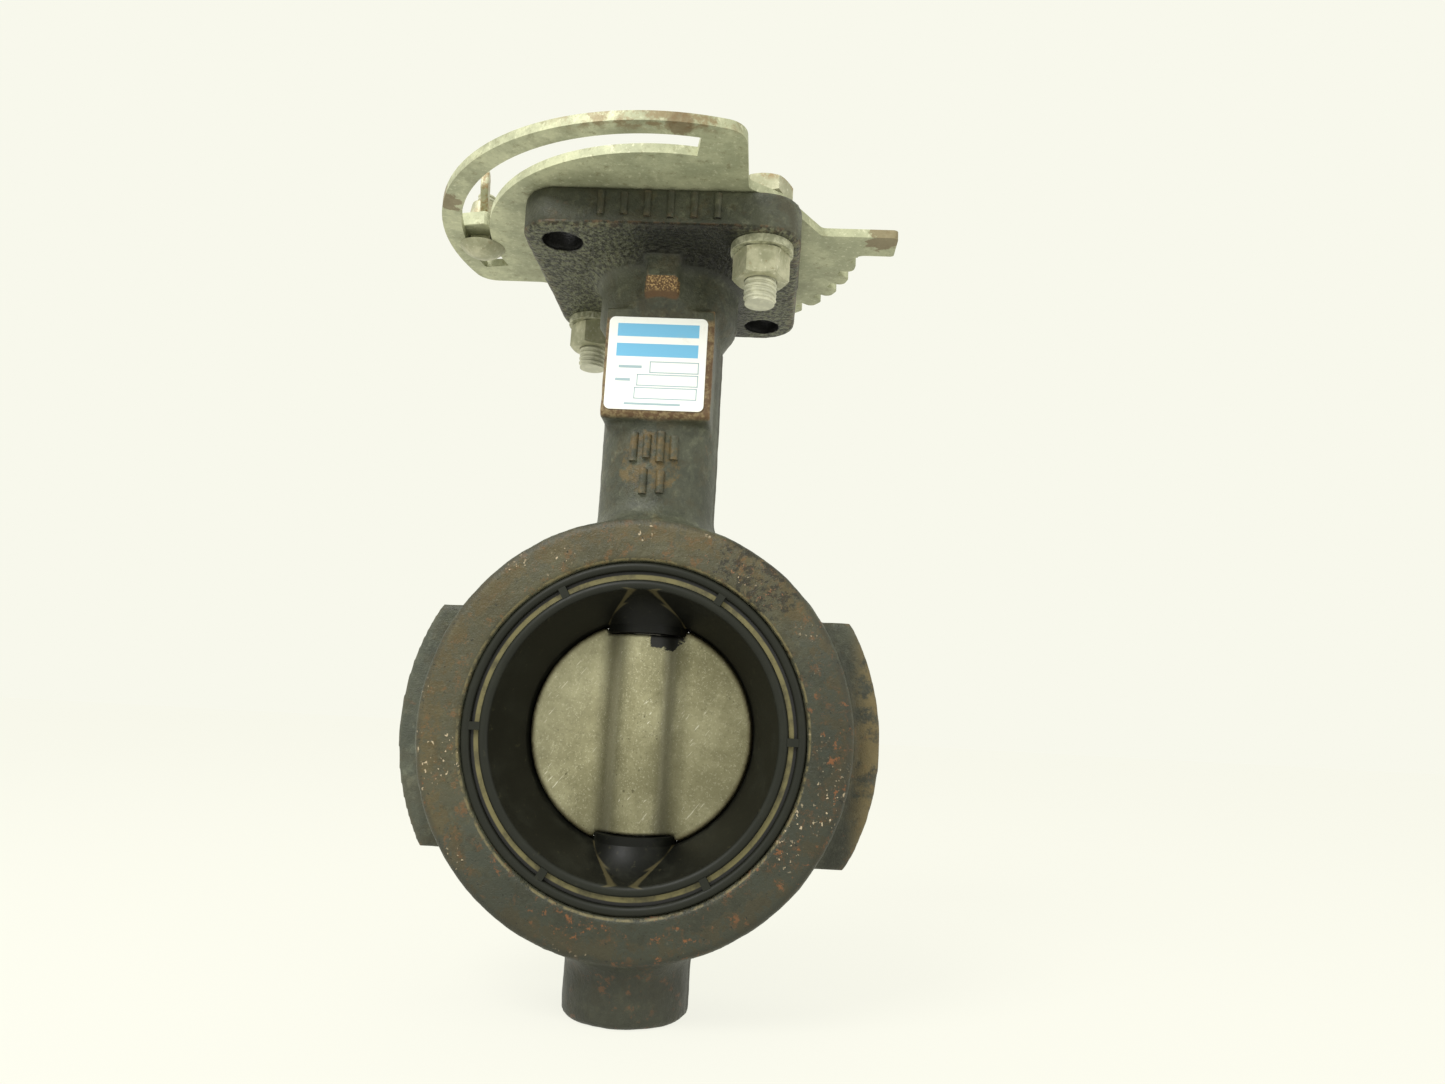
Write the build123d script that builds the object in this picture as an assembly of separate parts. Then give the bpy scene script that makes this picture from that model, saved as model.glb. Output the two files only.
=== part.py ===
from build123d import *
import math
import os

# Wafer butterfly valve for a 2 1/2 inch pipe, in millimetres.
# +Z runs up the stem, the pipe runs along Y, and the origin is the centre of the bore on the stem's axis.

# Body casting
FACE_TO_FACE = 46.0
HALF_FACE = FACE_TO_FACE / 2
RING_R = 60.5
BORE_R = 47.6
EDGE_R = 1.2
EAR_R = 68.4
EAR_HALF_WIDTH = 12.8
EAR_HALF_HEIGHT = 34.0
NECK_R = 17.6
NECK_FILLET = 8.0
RING_EDGE_R = 2.4
BOSS_BOTTOM = -77.3
PAD_FRONT = -20.0
PAD_HALF_WIDTH = 16.2
PAD_BOTTOM = 90.3
PAD_TOP = 124.0
PAD_BEVEL = 1.2
COLLAR_R = 21.5
COLLAR_BOTTOM = 119.0
COLLAR_FLARE_R = 6.0
RIB_HALF_WIDTH = 4.8
RIB_TOP_HALF_WIDTH = 6.9
RIB_SPREAD_START = 136.0
RIB_FRONT = 26.0
RIB_KNEE = 131.8
RIB_BOTTOM = 125.0

# Top flange and its four bolt holes, two of them used by the notch plate
FLANGE_HALF = 40.4
FLANGE_CORNER_R = 11.0
FLANGE_BOTTOM = 140.0
FLANGE_TOP = 151.5
BOLT_CIRCLE = 82.55
HOLE_R = 5.56
HOLE_XY = BOLT_CIRCLE / 2 / math.sqrt(2)

# Bores for the stem in the casting
POCKET_R = 9.6
NECK_BORE_R = 8.0
TOP_POCKET_R = 9.8
LOWER_POCKET_BOTTOM = -68.0
UPPER_POCKET_TOP = 76.0
TOP_POCKET_BOTTOM = 130.0

# Rubber liner and the rigid ring that it is moulded round
LINER_R = 47.5
LINER_MOUTH_R = 39.8
LINER_THROAT_R = 32.6
BEAD_HEIGHT = 22.95
BEAD_ROOT = 22.0
INNER_BEAD_R = 42.6
OUTER_BEAD_R = 44.95
BAND_FLOOR = 21.4
CORE_INNER_R = 41.5
CORE_OUTER_R = 46.0
CORE_HALF = 18.0
BAND_INNER_R = 42.7
BAND_OUTER_R = 44.9
BRIDGE_COUNT = 6
BRIDGE_WIDTH = 2.2
BRIDGE_TOP = 22.7
SEAT_FLAT_Z = 28.6
SEAT_FLAT_R = 12.0
SEAT_STRAIGHT_TOP = 31.0
SEAT_FLARE_MIDDLE = (15.0, 35.6)
SEAT_FLARE_END = (24.0, 40.4)
SLEEVE_R = 8.7

# Disc and stems
DISC_R = 32.3
DISC_RIM_HALF = 1.2
DISC_SHOULDER_R = 31.8
WEB_HALF = 3.6
HUB_R = 10.3
HUB_FILLET = 7.0
HUB_END = 28.3
HUB_END_R = 12.35
STEM_R = 7.15
FIT_GAP = 0.05
DRIVE_FLAT = 5.5
DRIVE_END = 10.0
DRIVE_START = 20.0
STEM_SHOULDER = 152.5
STEM_TOP_R = 6.95
STEM_FLAT_BOTTOM = 166.0
STEM_TOP = 180.0
STEM_TOP_FLAT = 4.76
STEM_END_R = 6.6
LOWER_STEM_BOTTOM = -67.0
DISC_SEAL_R = 8.4
DISC_SEAL_TOP = 26.0
DISC_SEAL_HEIGHT = 2.2

# Notch plate
PLATE_THICKNESS = 2.7
PLATE_TOP = FLANGE_TOP + PLATE_THICKNESS
ARM_R = 72.0
ARM_RIGHT = 24.9
ARM_TOP = 23.5
SLOT_INNER_R = 57.8
SLOT_OUTER_R = 66.2
SLOT_START = 168.6
SLOT_END = 281.4
TOOTH_R = 59.2
NOTCH_ROOT_R = 54.8
NOTCH_WIDTH = 3.4
NOTCH_COUNT = 10
NOTCH_PITCH = 10.0
TOOTH_ROUND = 2.2
STEM_OPENING_R = 13.0
TAB_END = 70.25
TAB_NEAR = -15.2
TAB_FAR = -3.2

# Plate fasteners, 3/8 inch
BOLT_R = 4.76
HEX_FLATS = 14.3
HEAD_HEIGHT = 5.2
BOLT_TIP = 122.5
NUT_HEIGHT = 8.3
WASHER_R = 9.1
WASHER_THICKNESS = 2.4
WASHER_SPLIT = 1.0
REAR_NUT_TURN = 17.0

# Memory stop: carriage bolt, stop block and wing nut
STOP_RADIUS = 62.0
STOP_ANGLE = 180.9
STOP_BOLT_R = 3.1
STOP_HEAD_R = 7.2
STOP_HEAD_HEIGHT = 3.6
STOP_NECK = 6.4
STOP_BOLT_TOP = 169.0
BLOCK_SIZE = (12.0, 19.0, 4.6)
BLOCK_TURN = -13.0
WING_TURN = -78.0
WING_HUB_R = 5.6
WING_HUB_TOP_R = 4.6
WING_HUB_HEIGHT = 7.0
WING_THICKNESS = 2.4
SLIDE_GAP = 0.05

# Nameplate
NAMEPLATE_SIZE = (29.3, 0.4, 28.6)
NAMEPLATE_X = -0.5
NAMEPLATE_Z = 107.0
NAMEPLATE_CORNER_R = 1.8

STOP_X = STOP_RADIUS * math.cos(math.radians(STOP_ANGLE))
STOP_Y = STOP_RADIUS * math.sin(math.radians(STOP_ANGLE))


def rod(radius, low, high):
    """An upright round bar about Z."""
    return Pos(0, 0, (low + high) / 2) * Cylinder(radius, high - low)


def drum(radius, half_length):
    """A round bar along the pipe."""
    return Rot(90, 0, 0) * Cylinder(radius, 2 * half_length)


def sleeve(outer, inner, low, high):
    """An upright tube."""
    return rod(outer, low, high) - rod(inner, low - 1, high + 1)


def spun_about_pipe(*outline):
    """A ring whose section is given as (radius, y) points."""
    return revolve(make_face(Polyline(*outline, close=True)), axis=Axis.Y)


def spun_about_stem(*outline):
    """A turned solid whose section is given as (radius, z) points."""
    face = make_face(Polyline(*outline, close=True))
    return revolve(Plane.XZ * face, axis=Axis.Z)


def both_ends(shape):
    """A shape with its mirror image on the other side of the bore."""
    return shape + mirror(shape, about=Plane.XY)


def flange_corner_spots():
    """The four bolt holes of the top flange."""
    return [(sx * HOLE_XY, sy * HOLE_XY) for sx in (-1, 1) for sy in (-1, 1)]


def ring_with_neck():
    ring = fillet(drum(RING_R, HALF_FACE).edges(), RING_EDGE_R)
    ears = drum(EAR_R, EAR_HALF_WIDTH) & Box(200, 200, 2 * EAR_HALF_HEIGHT)
    neck = rod(NECK_R, 0, FLANGE_BOTTOM)
    boss = chamfer(rod(NECK_R, BOSS_BOTTOM, 0).faces().sort_by(Axis.Z)[0].edges(), EDGE_R)
    post = neck + boss
    joined = ring + post
    joined = fillet(new_edges(ring, post, combined=joined), NECK_FILLET)
    return joined + ears


def label_pad():
    """The flat pad on the neck, bevelled at its lower edge."""
    height = PAD_TOP - PAD_BOTTOM
    pad = Pos(0, PAD_FRONT / 2, (PAD_TOP + PAD_BOTTOM) / 2) * Box(2 * PAD_HALF_WIDTH, -PAD_FRONT, height)
    front = pad.faces().sort_by(Axis.Y)[0]
    lower_edge = front.edges().sort_by(Axis.Z)[0]
    return chamfer(lower_edge, PAD_BEVEL)


def collar():
    """The thick collar under the flange, flared into it."""
    flare_z = FLANGE_BOTTOM - COLLAR_FLARE_R
    flare_r = COLLAR_R + COLLAR_FLARE_R
    side = Polyline(
        (0, FLANGE_BOTTOM), (0, COLLAR_BOTTOM), (NECK_R, COLLAR_BOTTOM),
        (COLLAR_R, COLLAR_BOTTOM + 6), (COLLAR_R, flare_z),
    )
    flare = RadiusArc((COLLAR_R, flare_z), (flare_r, FLANGE_BOTTOM), COLLAR_FLARE_R)
    roof = Line((flare_r, FLANGE_BOTTOM), (0, FLANGE_BOTTOM))
    return revolve(Plane.XZ * make_face(side + flare + roof), axis=Axis.Z)


def flange_rib():
    """One of two short ribs from the collar to the flange, spread where it meets the flange."""
    side_view = Polyline(
        (0, FLANGE_BOTTOM), (-RIB_FRONT, FLANGE_BOTTOM), (-RIB_FRONT, RIB_KNEE),
        (-COLLAR_R + 1, RIB_BOTTOM), (0, RIB_BOTTOM), close=True,
    )
    front_view = Polyline(
        (-RIB_HALF_WIDTH, RIB_BOTTOM), (RIB_HALF_WIDTH, RIB_BOTTOM), (RIB_HALF_WIDTH, RIB_SPREAD_START),
        (RIB_TOP_HALF_WIDTH, FLANGE_BOTTOM), (-RIB_TOP_HALF_WIDTH, FLANGE_BOTTOM),
        (-RIB_HALF_WIDTH, RIB_SPREAD_START), close=True,
    )
    block = extrude(Plane.YZ * make_face(side_view), RIB_TOP_HALF_WIDTH + 1, both=True)
    return block & extrude(Plane.XZ * make_face(front_view), RIB_FRONT + 1)


def top_flange():
    outline = RectangleRounded(2 * FLANGE_HALF, 2 * FLANGE_HALF, FLANGE_CORNER_R)
    slab = Pos(0, 0, FLANGE_BOTTOM) * extrude(outline, FLANGE_TOP - FLANGE_BOTTOM)
    rims = slab.faces().sort_by(Axis.Z)
    return fillet(rims[0].edges() + rims[-1].edges(), EDGE_R)


def body():
    rib = flange_rib()
    casting = ring_with_neck() + label_pad() + collar() + rib + mirror(rib, about=Plane.XZ) + top_flange()
    casting -= drum(BORE_R, HALF_FACE + 1)
    lip = spun_about_pipe(
        (BORE_R - 1, HALF_FACE - 0.6), (BORE_R, HALF_FACE - 0.6),
        (BORE_R + 1.2, HALF_FACE + 0.1), (BORE_R - 1, HALF_FACE + 0.1),
    )
    casting -= lip + mirror(lip, about=Plane.XZ)
    casting -= rod(POCKET_R, LOWER_POCKET_BOTTOM, UPPER_POCKET_TOP)
    casting -= rod(NECK_BORE_R, 0, FLANGE_TOP)
    casting -= rod(TOP_POCKET_R, TOP_POCKET_BOTTOM, FLANGE_TOP + 1)
    for x, y in flange_corner_spots():
        casting -= Pos(x, y, 0) * rod(HOLE_R, FLANGE_BOTTOM - 1, FLANGE_TOP + 1)
    return casting


def backing_ring():
    """The stiff core of the seat, showing as a band between the two face beads."""
    core = spun_about_pipe(
        (CORE_INNER_R, -CORE_HALF), (CORE_OUTER_R, -CORE_HALF),
        (CORE_OUTER_R, CORE_HALF), (CORE_INNER_R, CORE_HALF),
    )
    band = spun_about_pipe(
        (BAND_INNER_R, -BAND_FLOOR), (BAND_OUTER_R, -BAND_FLOOR),
        (BAND_OUTER_R, BAND_FLOOR), (BAND_INNER_R, BAND_FLOOR),
    )
    return core + band - rod(SLEEVE_R, -60, 60)


def liner_section(side):
    """The edges of the liner's section on one side of the middle plane, from the throat to the outside."""
    entry = (LINER_MOUTH_R, side * BEAD_ROOT)
    throat_end = (LINER_THROAT_R + 0.8, side * 5.0)
    inner_crest = ((LINER_MOUTH_R + INNER_BEAD_R) / 2, side * BEAD_HEIGHT)
    outer_crest = ((OUTER_BEAD_R + LINER_R) / 2, side * BEAD_HEIGHT)
    throat = Line((LINER_THROAT_R, 0), throat_end)
    flare = Line(throat_end, entry)
    inner_bead = ThreePointArc(entry, inner_crest, (INNER_BEAD_R, side * BEAD_ROOT))
    channel = Polyline(
        (INNER_BEAD_R, side * BEAD_ROOT), (INNER_BEAD_R, side * BAND_FLOOR),
        (OUTER_BEAD_R, side * BAND_FLOOR), (OUTER_BEAD_R, side * BEAD_ROOT),
    )
    outer_bead = ThreePointArc((OUTER_BEAD_R, side * BEAD_ROOT), outer_crest, (LINER_R, side * BEAD_ROOT))
    return throat + flare + inner_bead + channel + outer_bead


def stem_seats():
    """The raised rubber seats that the two hub ends of the disc turn against, flared into the bore."""
    straight_end = (SEAT_FLAT_R, SEAT_STRAIGHT_TOP)
    end_r, end_z = SEAT_FLARE_END
    start = Polyline((0, SEAT_FLAT_Z), (SEAT_FLAT_R, SEAT_FLAT_Z), straight_end)
    flare = ThreePointArc(straight_end, SEAT_FLARE_MIDDLE, SEAT_FLARE_END)
    back = Polyline(SEAT_FLARE_END, (end_r, end_z + 3), (0, end_z + 3), (0, SEAT_FLAT_Z))
    seat = revolve(Plane.XZ * make_face(start + flare + back), axis=Axis.Z)
    return both_ends(seat & drum(CORE_INNER_R, BAND_FLOOR - 1))


def seat_liner():
    outside = Line((LINER_R, -BEAD_ROOT), (LINER_R, BEAD_ROOT))
    rubber = revolve(make_face(liner_section(1) + liner_section(-1) + outside), axis=Axis.Y)
    rubber += stem_seats()
    rubber -= backing_ring()
    rubber += both_ends(rod(SLEEVE_R, CORE_INNER_R - 2, LINER_R - 1))
    depth = BRIDGE_TOP - BAND_FLOOR
    middle_r = (INNER_BEAD_R + OUTER_BEAD_R) / 2
    for number in range(BRIDGE_COUNT):
        for side in (-1, 1):
            bridge = Box(OUTER_BEAD_R - INNER_BEAD_R + 0.8, depth, BRIDGE_WIDTH)
            placed = Pos(middle_r, side * (BAND_FLOOR + depth / 2), 0) * bridge
            rubber += Rot(0, number * 360 / BRIDGE_COUNT, 0) * placed
    return rubber - rod(STEM_R + FIT_GAP, -60, 60)


def double_d(radius, half_flat, low, high):
    """A round bar with two flats."""
    return rod(radius, low, high) & Box(4 * radius, 2 * half_flat, 400)


def disc_section():
    """Half of the disc's cross-section: flat web, round hub and a fillet between them."""
    centre_y = WEB_HALF + HUB_FILLET
    centre_x = math.sqrt((HUB_R + HUB_FILLET) ** 2 - centre_y ** 2)
    reach = HUB_R / (HUB_R + HUB_FILLET)
    hub_point = (centre_x * reach, centre_y * reach)
    web_point = (centre_x, WEB_HALF)
    wide = DISC_R + 2
    edge = (
        Line((0, 0), (wide, 0)) + Line((wide, 0), (wide, WEB_HALF)) + Line((wide, WEB_HALF), web_point)
        + RadiusArc(web_point, hub_point, HUB_FILLET) + RadiusArc(hub_point, (0, HUB_R), -HUB_R)
        + Line((0, HUB_R), (0, 0))
    )
    return make_face(edge)


def disc():
    quarter = extrude(disc_section(), HUB_END + 6, both=True)
    half = quarter + mirror(quarter, about=Plane.YZ)
    plain = half + mirror(half, about=Plane.XZ)
    rim = spun_about_pipe(
        (0, -HUB_R - 1), (DISC_SHOULDER_R, -HUB_R - 1), (DISC_SHOULDER_R, -WEB_HALF),
        (DISC_R, -DISC_RIM_HALF), (DISC_R, DISC_RIM_HALF),
        (DISC_SHOULDER_R, WEB_HALF), (DISC_SHOULDER_R, HUB_R + 1), (0, HUB_R + 1),
    )
    solid = plain & rim
    solid -= both_ends(rod(HUB_END_R, HUB_END, DISC_R + 1))
    solid -= both_ends(rod(STEM_R + FIT_GAP, DRIVE_START, HUB_END + 1))
    solid -= both_ends(double_d(STEM_R + FIT_GAP, DRIVE_FLAT + FIT_GAP, DRIVE_END, DRIVE_START + 1))
    solid -= both_ends(rod(DISC_SEAL_R, DISC_SEAL_TOP - DISC_SEAL_HEIGHT, DISC_SEAL_TOP))
    return solid


def upper_stem():
    """The driven stem: flats in the disc, a round shaft, and a flatted end for a lever or gear."""
    drive = double_d(STEM_R, DRIVE_FLAT, DRIVE_END + 0.5, DRIVE_START)
    shaft = rod(STEM_R, DRIVE_START, STEM_SHOULDER)
    journal = rod(STEM_TOP_R, STEM_SHOULDER, STEM_FLAT_BOTTOM)
    end = double_d(STEM_END_R, STEM_TOP_FLAT, STEM_FLAT_BOTTOM, STEM_TOP)
    return drive + shaft + journal + end


def lower_stem():
    drive = double_d(STEM_R, DRIVE_FLAT, -DRIVE_START, -DRIVE_END - 0.5)
    return drive + rod(STEM_R, LOWER_STEM_BOTTOM, -DRIVE_START)


def disc_seal(sign):
    low = min(sign * DISC_SEAL_TOP, sign * (DISC_SEAL_TOP - DISC_SEAL_HEIGHT))
    return sleeve(DISC_SEAL_R - 0.02, STEM_R + 0.02, low + 0.02, low + DISC_SEAL_HEIGHT - 0.02)


def plate_right_side():
    """The plate round the flange's right half, with its tab and the seat of the front bolt."""
    outline = FilletPolyline(
        (-40, -50), (ARM_RIGHT, -50), (ARM_RIGHT, -41.5), (34.5, -34.5), (47, TAB_NEAR),
        (TAB_END, TAB_NEAR), (TAB_END, TAB_FAR), (58.5, TAB_FAR), (56, 6), (20, 20), (-40, 20),
        radius=(4, 4, 3, 8, 2.4, 1.6, 1, 4, 10, 4, 4), close=True,
    )
    return make_face(outline)


def plate_far_side():
    """The plate behind the stem, where it takes the rear bolt."""
    outline = FilletPolyline(
        (-60, 0), (40, 0), (8, 57), (-8, 54), (-38, 46), (-45, ARM_TOP), (-60, ARM_TOP),
        radius=(2, 2, 3, 12, 9, 5, 2), close=True,
    )
    return make_face(outline)


def plate_arm():
    """The big quarter-round arm that holds the slot."""
    corner = Pos((ARM_RIGHT - 80) / 2, (ARM_TOP - 80) / 2) * Rectangle(ARM_RIGHT + 80, ARM_TOP + 80)
    arm = Circle(ARM_R) & corner
    rounded = arm.vertices().filter_by(lambda v: abs(math.hypot(v.X, v.Y) - ARM_R) < 0.01)
    return fillet(rounded, 6.5)


def toothed_sector():
    """The notched sector: one lever position every ten degrees."""
    rim = CenterArc((0, 0), TOOTH_R, -3, NOTCH_COUNT * NOTCH_PITCH)
    sector = make_face(rim + Line(rim @ 1, (0, 0)) + Line((0, 0), rim @ 0))
    length = TOOTH_R - NOTCH_ROOT_R + 4
    for number in range(NOTCH_COUNT):
        notch = Pos(NOTCH_ROOT_R + length / 2, 0) * Rectangle(length, NOTCH_WIDTH)
        sector -= Rot(0, 0, number * NOTCH_PITCH) * notch
    tips = sector.vertices().filter_by(lambda v: abs(math.hypot(v.X, v.Y) - TOOTH_R) < 0.01)
    return fillet(tips.filter_by(lambda v: v.Y > 1), TOOTH_ROUND)


def curved_slot():
    """The arc slot that the memory stop slides in."""
    sweep = SLOT_END - SLOT_START
    outer = CenterArc((0, 0), SLOT_OUTER_R, SLOT_START, sweep)
    inner = CenterArc((0, 0), SLOT_INNER_R, SLOT_START, sweep)
    ends = Line(outer @ 0, inner @ 0) + Line(outer @ 1, inner @ 1)
    return make_face(outer + inner + ends)


def notch_plate():
    sheet = plate_arm() + plate_right_side() + plate_far_side() + toothed_sector()
    sheet -= curved_slot()
    sheet -= Circle(STEM_OPENING_R)
    for x, y in flange_corner_spots():
        sheet -= Pos(x, y) * Circle(HOLE_R)
    return Pos(0, 0, FLANGE_TOP) * extrude(sheet, PLATE_THICKNESS)


def hexagon(height, low):
    """A hexagon bar with its outer corners turned off at both ends."""
    across_corners = HEX_FLATS / math.cos(math.radians(30))
    bar = Pos(0, 0, low) * extrude(RegularPolygon(across_corners / 2, 6), height)
    slope = 0.9
    turned = spun_about_stem(
        (0, low), (HEX_FLATS / 2, low), (HEX_FLATS / 2 + 2 * slope, low + slope),
        (HEX_FLATS / 2 + 2 * slope, low + height - slope), (HEX_FLATS / 2, low + height), (0, low + height),
    )
    return bar & turned


def plate_bolt(x, y, turn):
    tip = chamfer(rod(BOLT_R, BOLT_TIP, PLATE_TOP).faces().sort_by(Axis.Z)[0].edges(), 0.9)
    return Pos(x, y, 0) * Rot(0, 0, turn) * (hexagon(HEAD_HEIGHT, PLATE_TOP) + tip)


def lock_washer(x, y, turn):
    ring = sleeve(WASHER_R, BOLT_R + FIT_GAP, FLANGE_BOTTOM - WASHER_THICKNESS, FLANGE_BOTTOM)
    split = Pos(WASHER_R - 2, 0, FLANGE_BOTTOM) * Rot(30, 0, 0) * Box(8, WASHER_SPLIT, 12)
    return Pos(x, y, 0) * Rot(0, 0, turn) * (ring - split)


def plate_nut(x, y, turn):
    low = FLANGE_BOTTOM - WASHER_THICKNESS - NUT_HEIGHT
    nut = hexagon(NUT_HEIGHT, low) - rod(BOLT_R + FIT_GAP, low - 1, low + NUT_HEIGHT + 1)
    return Pos(x, y, 0) * Rot(0, 0, turn) * nut


def at_stop(shape, turn):
    return Pos(STOP_X, STOP_Y, 0) * Rot(0, 0, turn) * shape


def stop_bolt():
    """A carriage bolt with its domed head under the plate."""
    top = FLANGE_TOP - SLIDE_GAP
    dome_edge = ThreePointArc((0, top - STOP_HEAD_HEIGHT), (STOP_HEAD_R * 0.72, top - 1.9), (STOP_HEAD_R, top))
    closing = Polyline((STOP_HEAD_R, top), (0, top), (0, top - STOP_HEAD_HEIGHT))
    head = revolve(Plane.XZ * make_face(dome_edge + closing), axis=Axis.Z)
    neck_height = PLATE_THICKNESS
    neck = Pos(0, 0, top + neck_height / 2) * Box(STOP_NECK, STOP_NECK, neck_height)
    shank = chamfer(rod(STOP_BOLT_R, top, STOP_BOLT_TOP).faces().sort_by(Axis.Z)[-1].edges(), 0.6)
    return at_stop(head + neck + shank, 0)


def stop_block():
    """The block that the lever comes up against."""
    low = PLATE_TOP + SLIDE_GAP
    block = Pos(0, 0, low + BLOCK_SIZE[2] / 2) * Box(*BLOCK_SIZE)
    block = chamfer(block.edges().filter_by(Axis.Z), 0.8)
    return at_stop(block - rod(STOP_BOLT_R + FIT_GAP, low - 1, low + 10), BLOCK_TURN)


def wing_nut():
    low = PLATE_TOP + BLOCK_SIZE[2] + 2 * SLIDE_GAP
    hub = spun_about_stem(
        (0, low), (WING_HUB_R, low), (WING_HUB_TOP_R, low + WING_HUB_HEIGHT), (0, low + WING_HUB_HEIGHT),
    )
    outline = FilletPolyline(
        (0, 0.6), (5.5, 0.6), (12.6, 7.0), (12.6, 13.4), (7.6, 13.4), (4.0, 6.6), (0, 6.6),
        radius=(0.4, 2.0, 3.0, 2.2, 2.2, 1.0, 0.4), close=True,
    )
    wing = extrude(Plane.XZ * make_face(outline), WING_THICKNESS / 2, both=True)
    pair = Pos(0, 0, low) * (wing + mirror(wing, about=Plane.YZ))
    nut = hub + pair - rod(STOP_BOLT_R + FIT_GAP, low - 1, low + 30)
    return at_stop(nut, WING_TURN)


def nameplate():
    width, thickness, height = NAMEPLATE_SIZE
    outline = Plane.XZ * RectangleRounded(width, height, NAMEPLATE_CORNER_R)
    plate = extrude(outline, thickness)
    back = plate.bounding_box().max.Y
    return Pos(NAMEPLATE_X, PAD_FRONT - back, NAMEPLATE_Z) * plate


def save(name, shape):
    export_step(shape, f"parts/{name}.step")


os.makedirs("parts", exist_ok=True)

save("body", body())
save("seat_liner", seat_liner())
save("seat_backing_ring", backing_ring())
save("disc", disc())
save("upper_stem", upper_stem())
save("lower_stem", lower_stem())
save("disc_seal_upper", disc_seal(1))
save("disc_seal_lower", disc_seal(-1))
save("upper_bushing", sleeve(POCKET_R - 0.02, STEM_R + FIT_GAP, 54.0, UPPER_POCKET_TOP - 0.1))
save("lower_bushing", sleeve(POCKET_R - 0.02, STEM_R + FIT_GAP, LOWER_POCKET_BOTTOM + 1.5, -50.0))
save("collar_bushing", sleeve(TOP_POCKET_R - 0.02, STEM_R + FIT_GAP, 136.5, FLANGE_TOP - 0.5))
save("stem_seal", sleeve(TOP_POCKET_R - 0.02, STEM_R + FIT_GAP, TOP_POCKET_BOTTOM + 0.1, 136.4))
save("body_seal", sleeve(POCKET_R - 0.02, STEM_R + FIT_GAP, 48.2, 53.8))
save("notch_plate", notch_plate())
for end, sign, turn in (("front", -1, 0), ("rear", 1, REAR_NUT_TURN)):
    x, y = -sign * HOLE_XY, sign * HOLE_XY
    save(f"plate_bolt_{end}", plate_bolt(x, y, 0))
    save(f"lock_washer_{end}", lock_washer(x, y, 50 + turn))
    save(f"plate_nut_{end}", plate_nut(x, y, turn))
save("stop_bolt", stop_bolt())
save("stop_block", stop_block())
save("wing_nut", wing_nut())
save("nameplate", nameplate())
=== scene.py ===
# %% [markdown]
# # A wafer butterfly valve in Blender
#
# The valve's design is already packed as a fixed frame: a ring casting with a rubber seat, a closed
# disc, a notched plate on the top flange and the fasteners that hold it. This lesson gives that frame
# its looks. It loads the frame first, so that every piece made later can be put where the design says.

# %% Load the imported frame
import math

import bmesh
import bpy
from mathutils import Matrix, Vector, noise


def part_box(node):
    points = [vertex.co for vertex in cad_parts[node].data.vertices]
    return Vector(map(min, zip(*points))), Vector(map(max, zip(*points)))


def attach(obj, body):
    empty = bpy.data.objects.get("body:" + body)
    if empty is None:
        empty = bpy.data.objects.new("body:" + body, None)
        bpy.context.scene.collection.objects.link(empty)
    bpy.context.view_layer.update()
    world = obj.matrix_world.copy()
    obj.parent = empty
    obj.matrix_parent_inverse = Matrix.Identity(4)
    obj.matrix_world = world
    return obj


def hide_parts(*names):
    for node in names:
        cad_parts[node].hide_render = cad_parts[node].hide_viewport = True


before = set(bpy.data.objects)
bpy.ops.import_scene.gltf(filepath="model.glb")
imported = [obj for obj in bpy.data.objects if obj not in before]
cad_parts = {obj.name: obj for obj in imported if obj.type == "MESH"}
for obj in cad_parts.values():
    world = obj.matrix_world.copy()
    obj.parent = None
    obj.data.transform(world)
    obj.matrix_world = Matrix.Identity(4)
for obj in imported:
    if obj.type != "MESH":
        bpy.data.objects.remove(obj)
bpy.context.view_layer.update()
scene = bpy.context.scene
MM = 0.001

# %% [markdown]
# ## Measures from the frame
#
# Positions come from the boxes of the CAD nodes, never from guesses. Here they are read once and kept
# under plain names: the casting, the notched plate, the label and the stop bolt. The neck's radius and
# the flange's front face are the two sizes of the casting that no box gives.

# %% Read the measures
body_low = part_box("body")[0]
plate_low, plate_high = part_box("notch_plate")
label_low, label_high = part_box("nameplate")
stop_low, stop_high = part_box("stop_bolt")

NECK_R = 17.6 * MM
FLANGE_FRONT = -40.4 * MM
label_centre = (label_low + label_high) / 2
stop_centre = (stop_low + stop_high) / 2
print("label centre:", [round(v / MM, 2) for v in label_centre], "mm")

# %% [markdown]
# ## Small helpers
#
# Three helpers do most of the work. One turns a hex colour into Blender's linear values. One adds a
# node to any tree, with its settings and its links. One turns an object with live modifiers into a
# plain mesh.

# %% Colours and nodes
def linear(code):
    """A hex sRGB colour as linear red, green, blue and alpha."""
    channels = [int(code[i:i + 2], 16) / 255 for i in (1, 3, 5)]
    values = [c / 12.92 if c <= 0.04045 else ((c + 0.055) / 1.055) ** 2.4 for c in channels]
    return (*values, 1.0)


def add(tree, kind, inputs=None, **settings):
    """One node with its settings; each input is a value or the socket that feeds it."""
    made = tree.nodes.new(kind)
    for name, value in settings.items():
        setattr(made, name, value)
    for name, value in (inputs or {}).items():
        if isinstance(value, bpy.types.NodeSocket):
            tree.links.new(value, made.inputs[name])
        else:
            made.inputs[name].default_value = value
    return made


# %% Plain meshes from live modifiers
def new_piece(name, mesh):
    piece = bpy.data.objects.new(name, mesh)
    scene.collection.objects.link(piece)
    return piece


def bake_modifiers(piece):
    """Replaces a piece's mesh with its evaluated one and removes its modifiers."""
    bpy.context.view_layer.update()
    evaluated = piece.evaluated_get(bpy.context.evaluated_depsgraph_get())
    mesh = bpy.data.meshes.new_from_object(evaluated)
    piece.modifiers.clear()
    piece.data = mesh
    return piece


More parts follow.
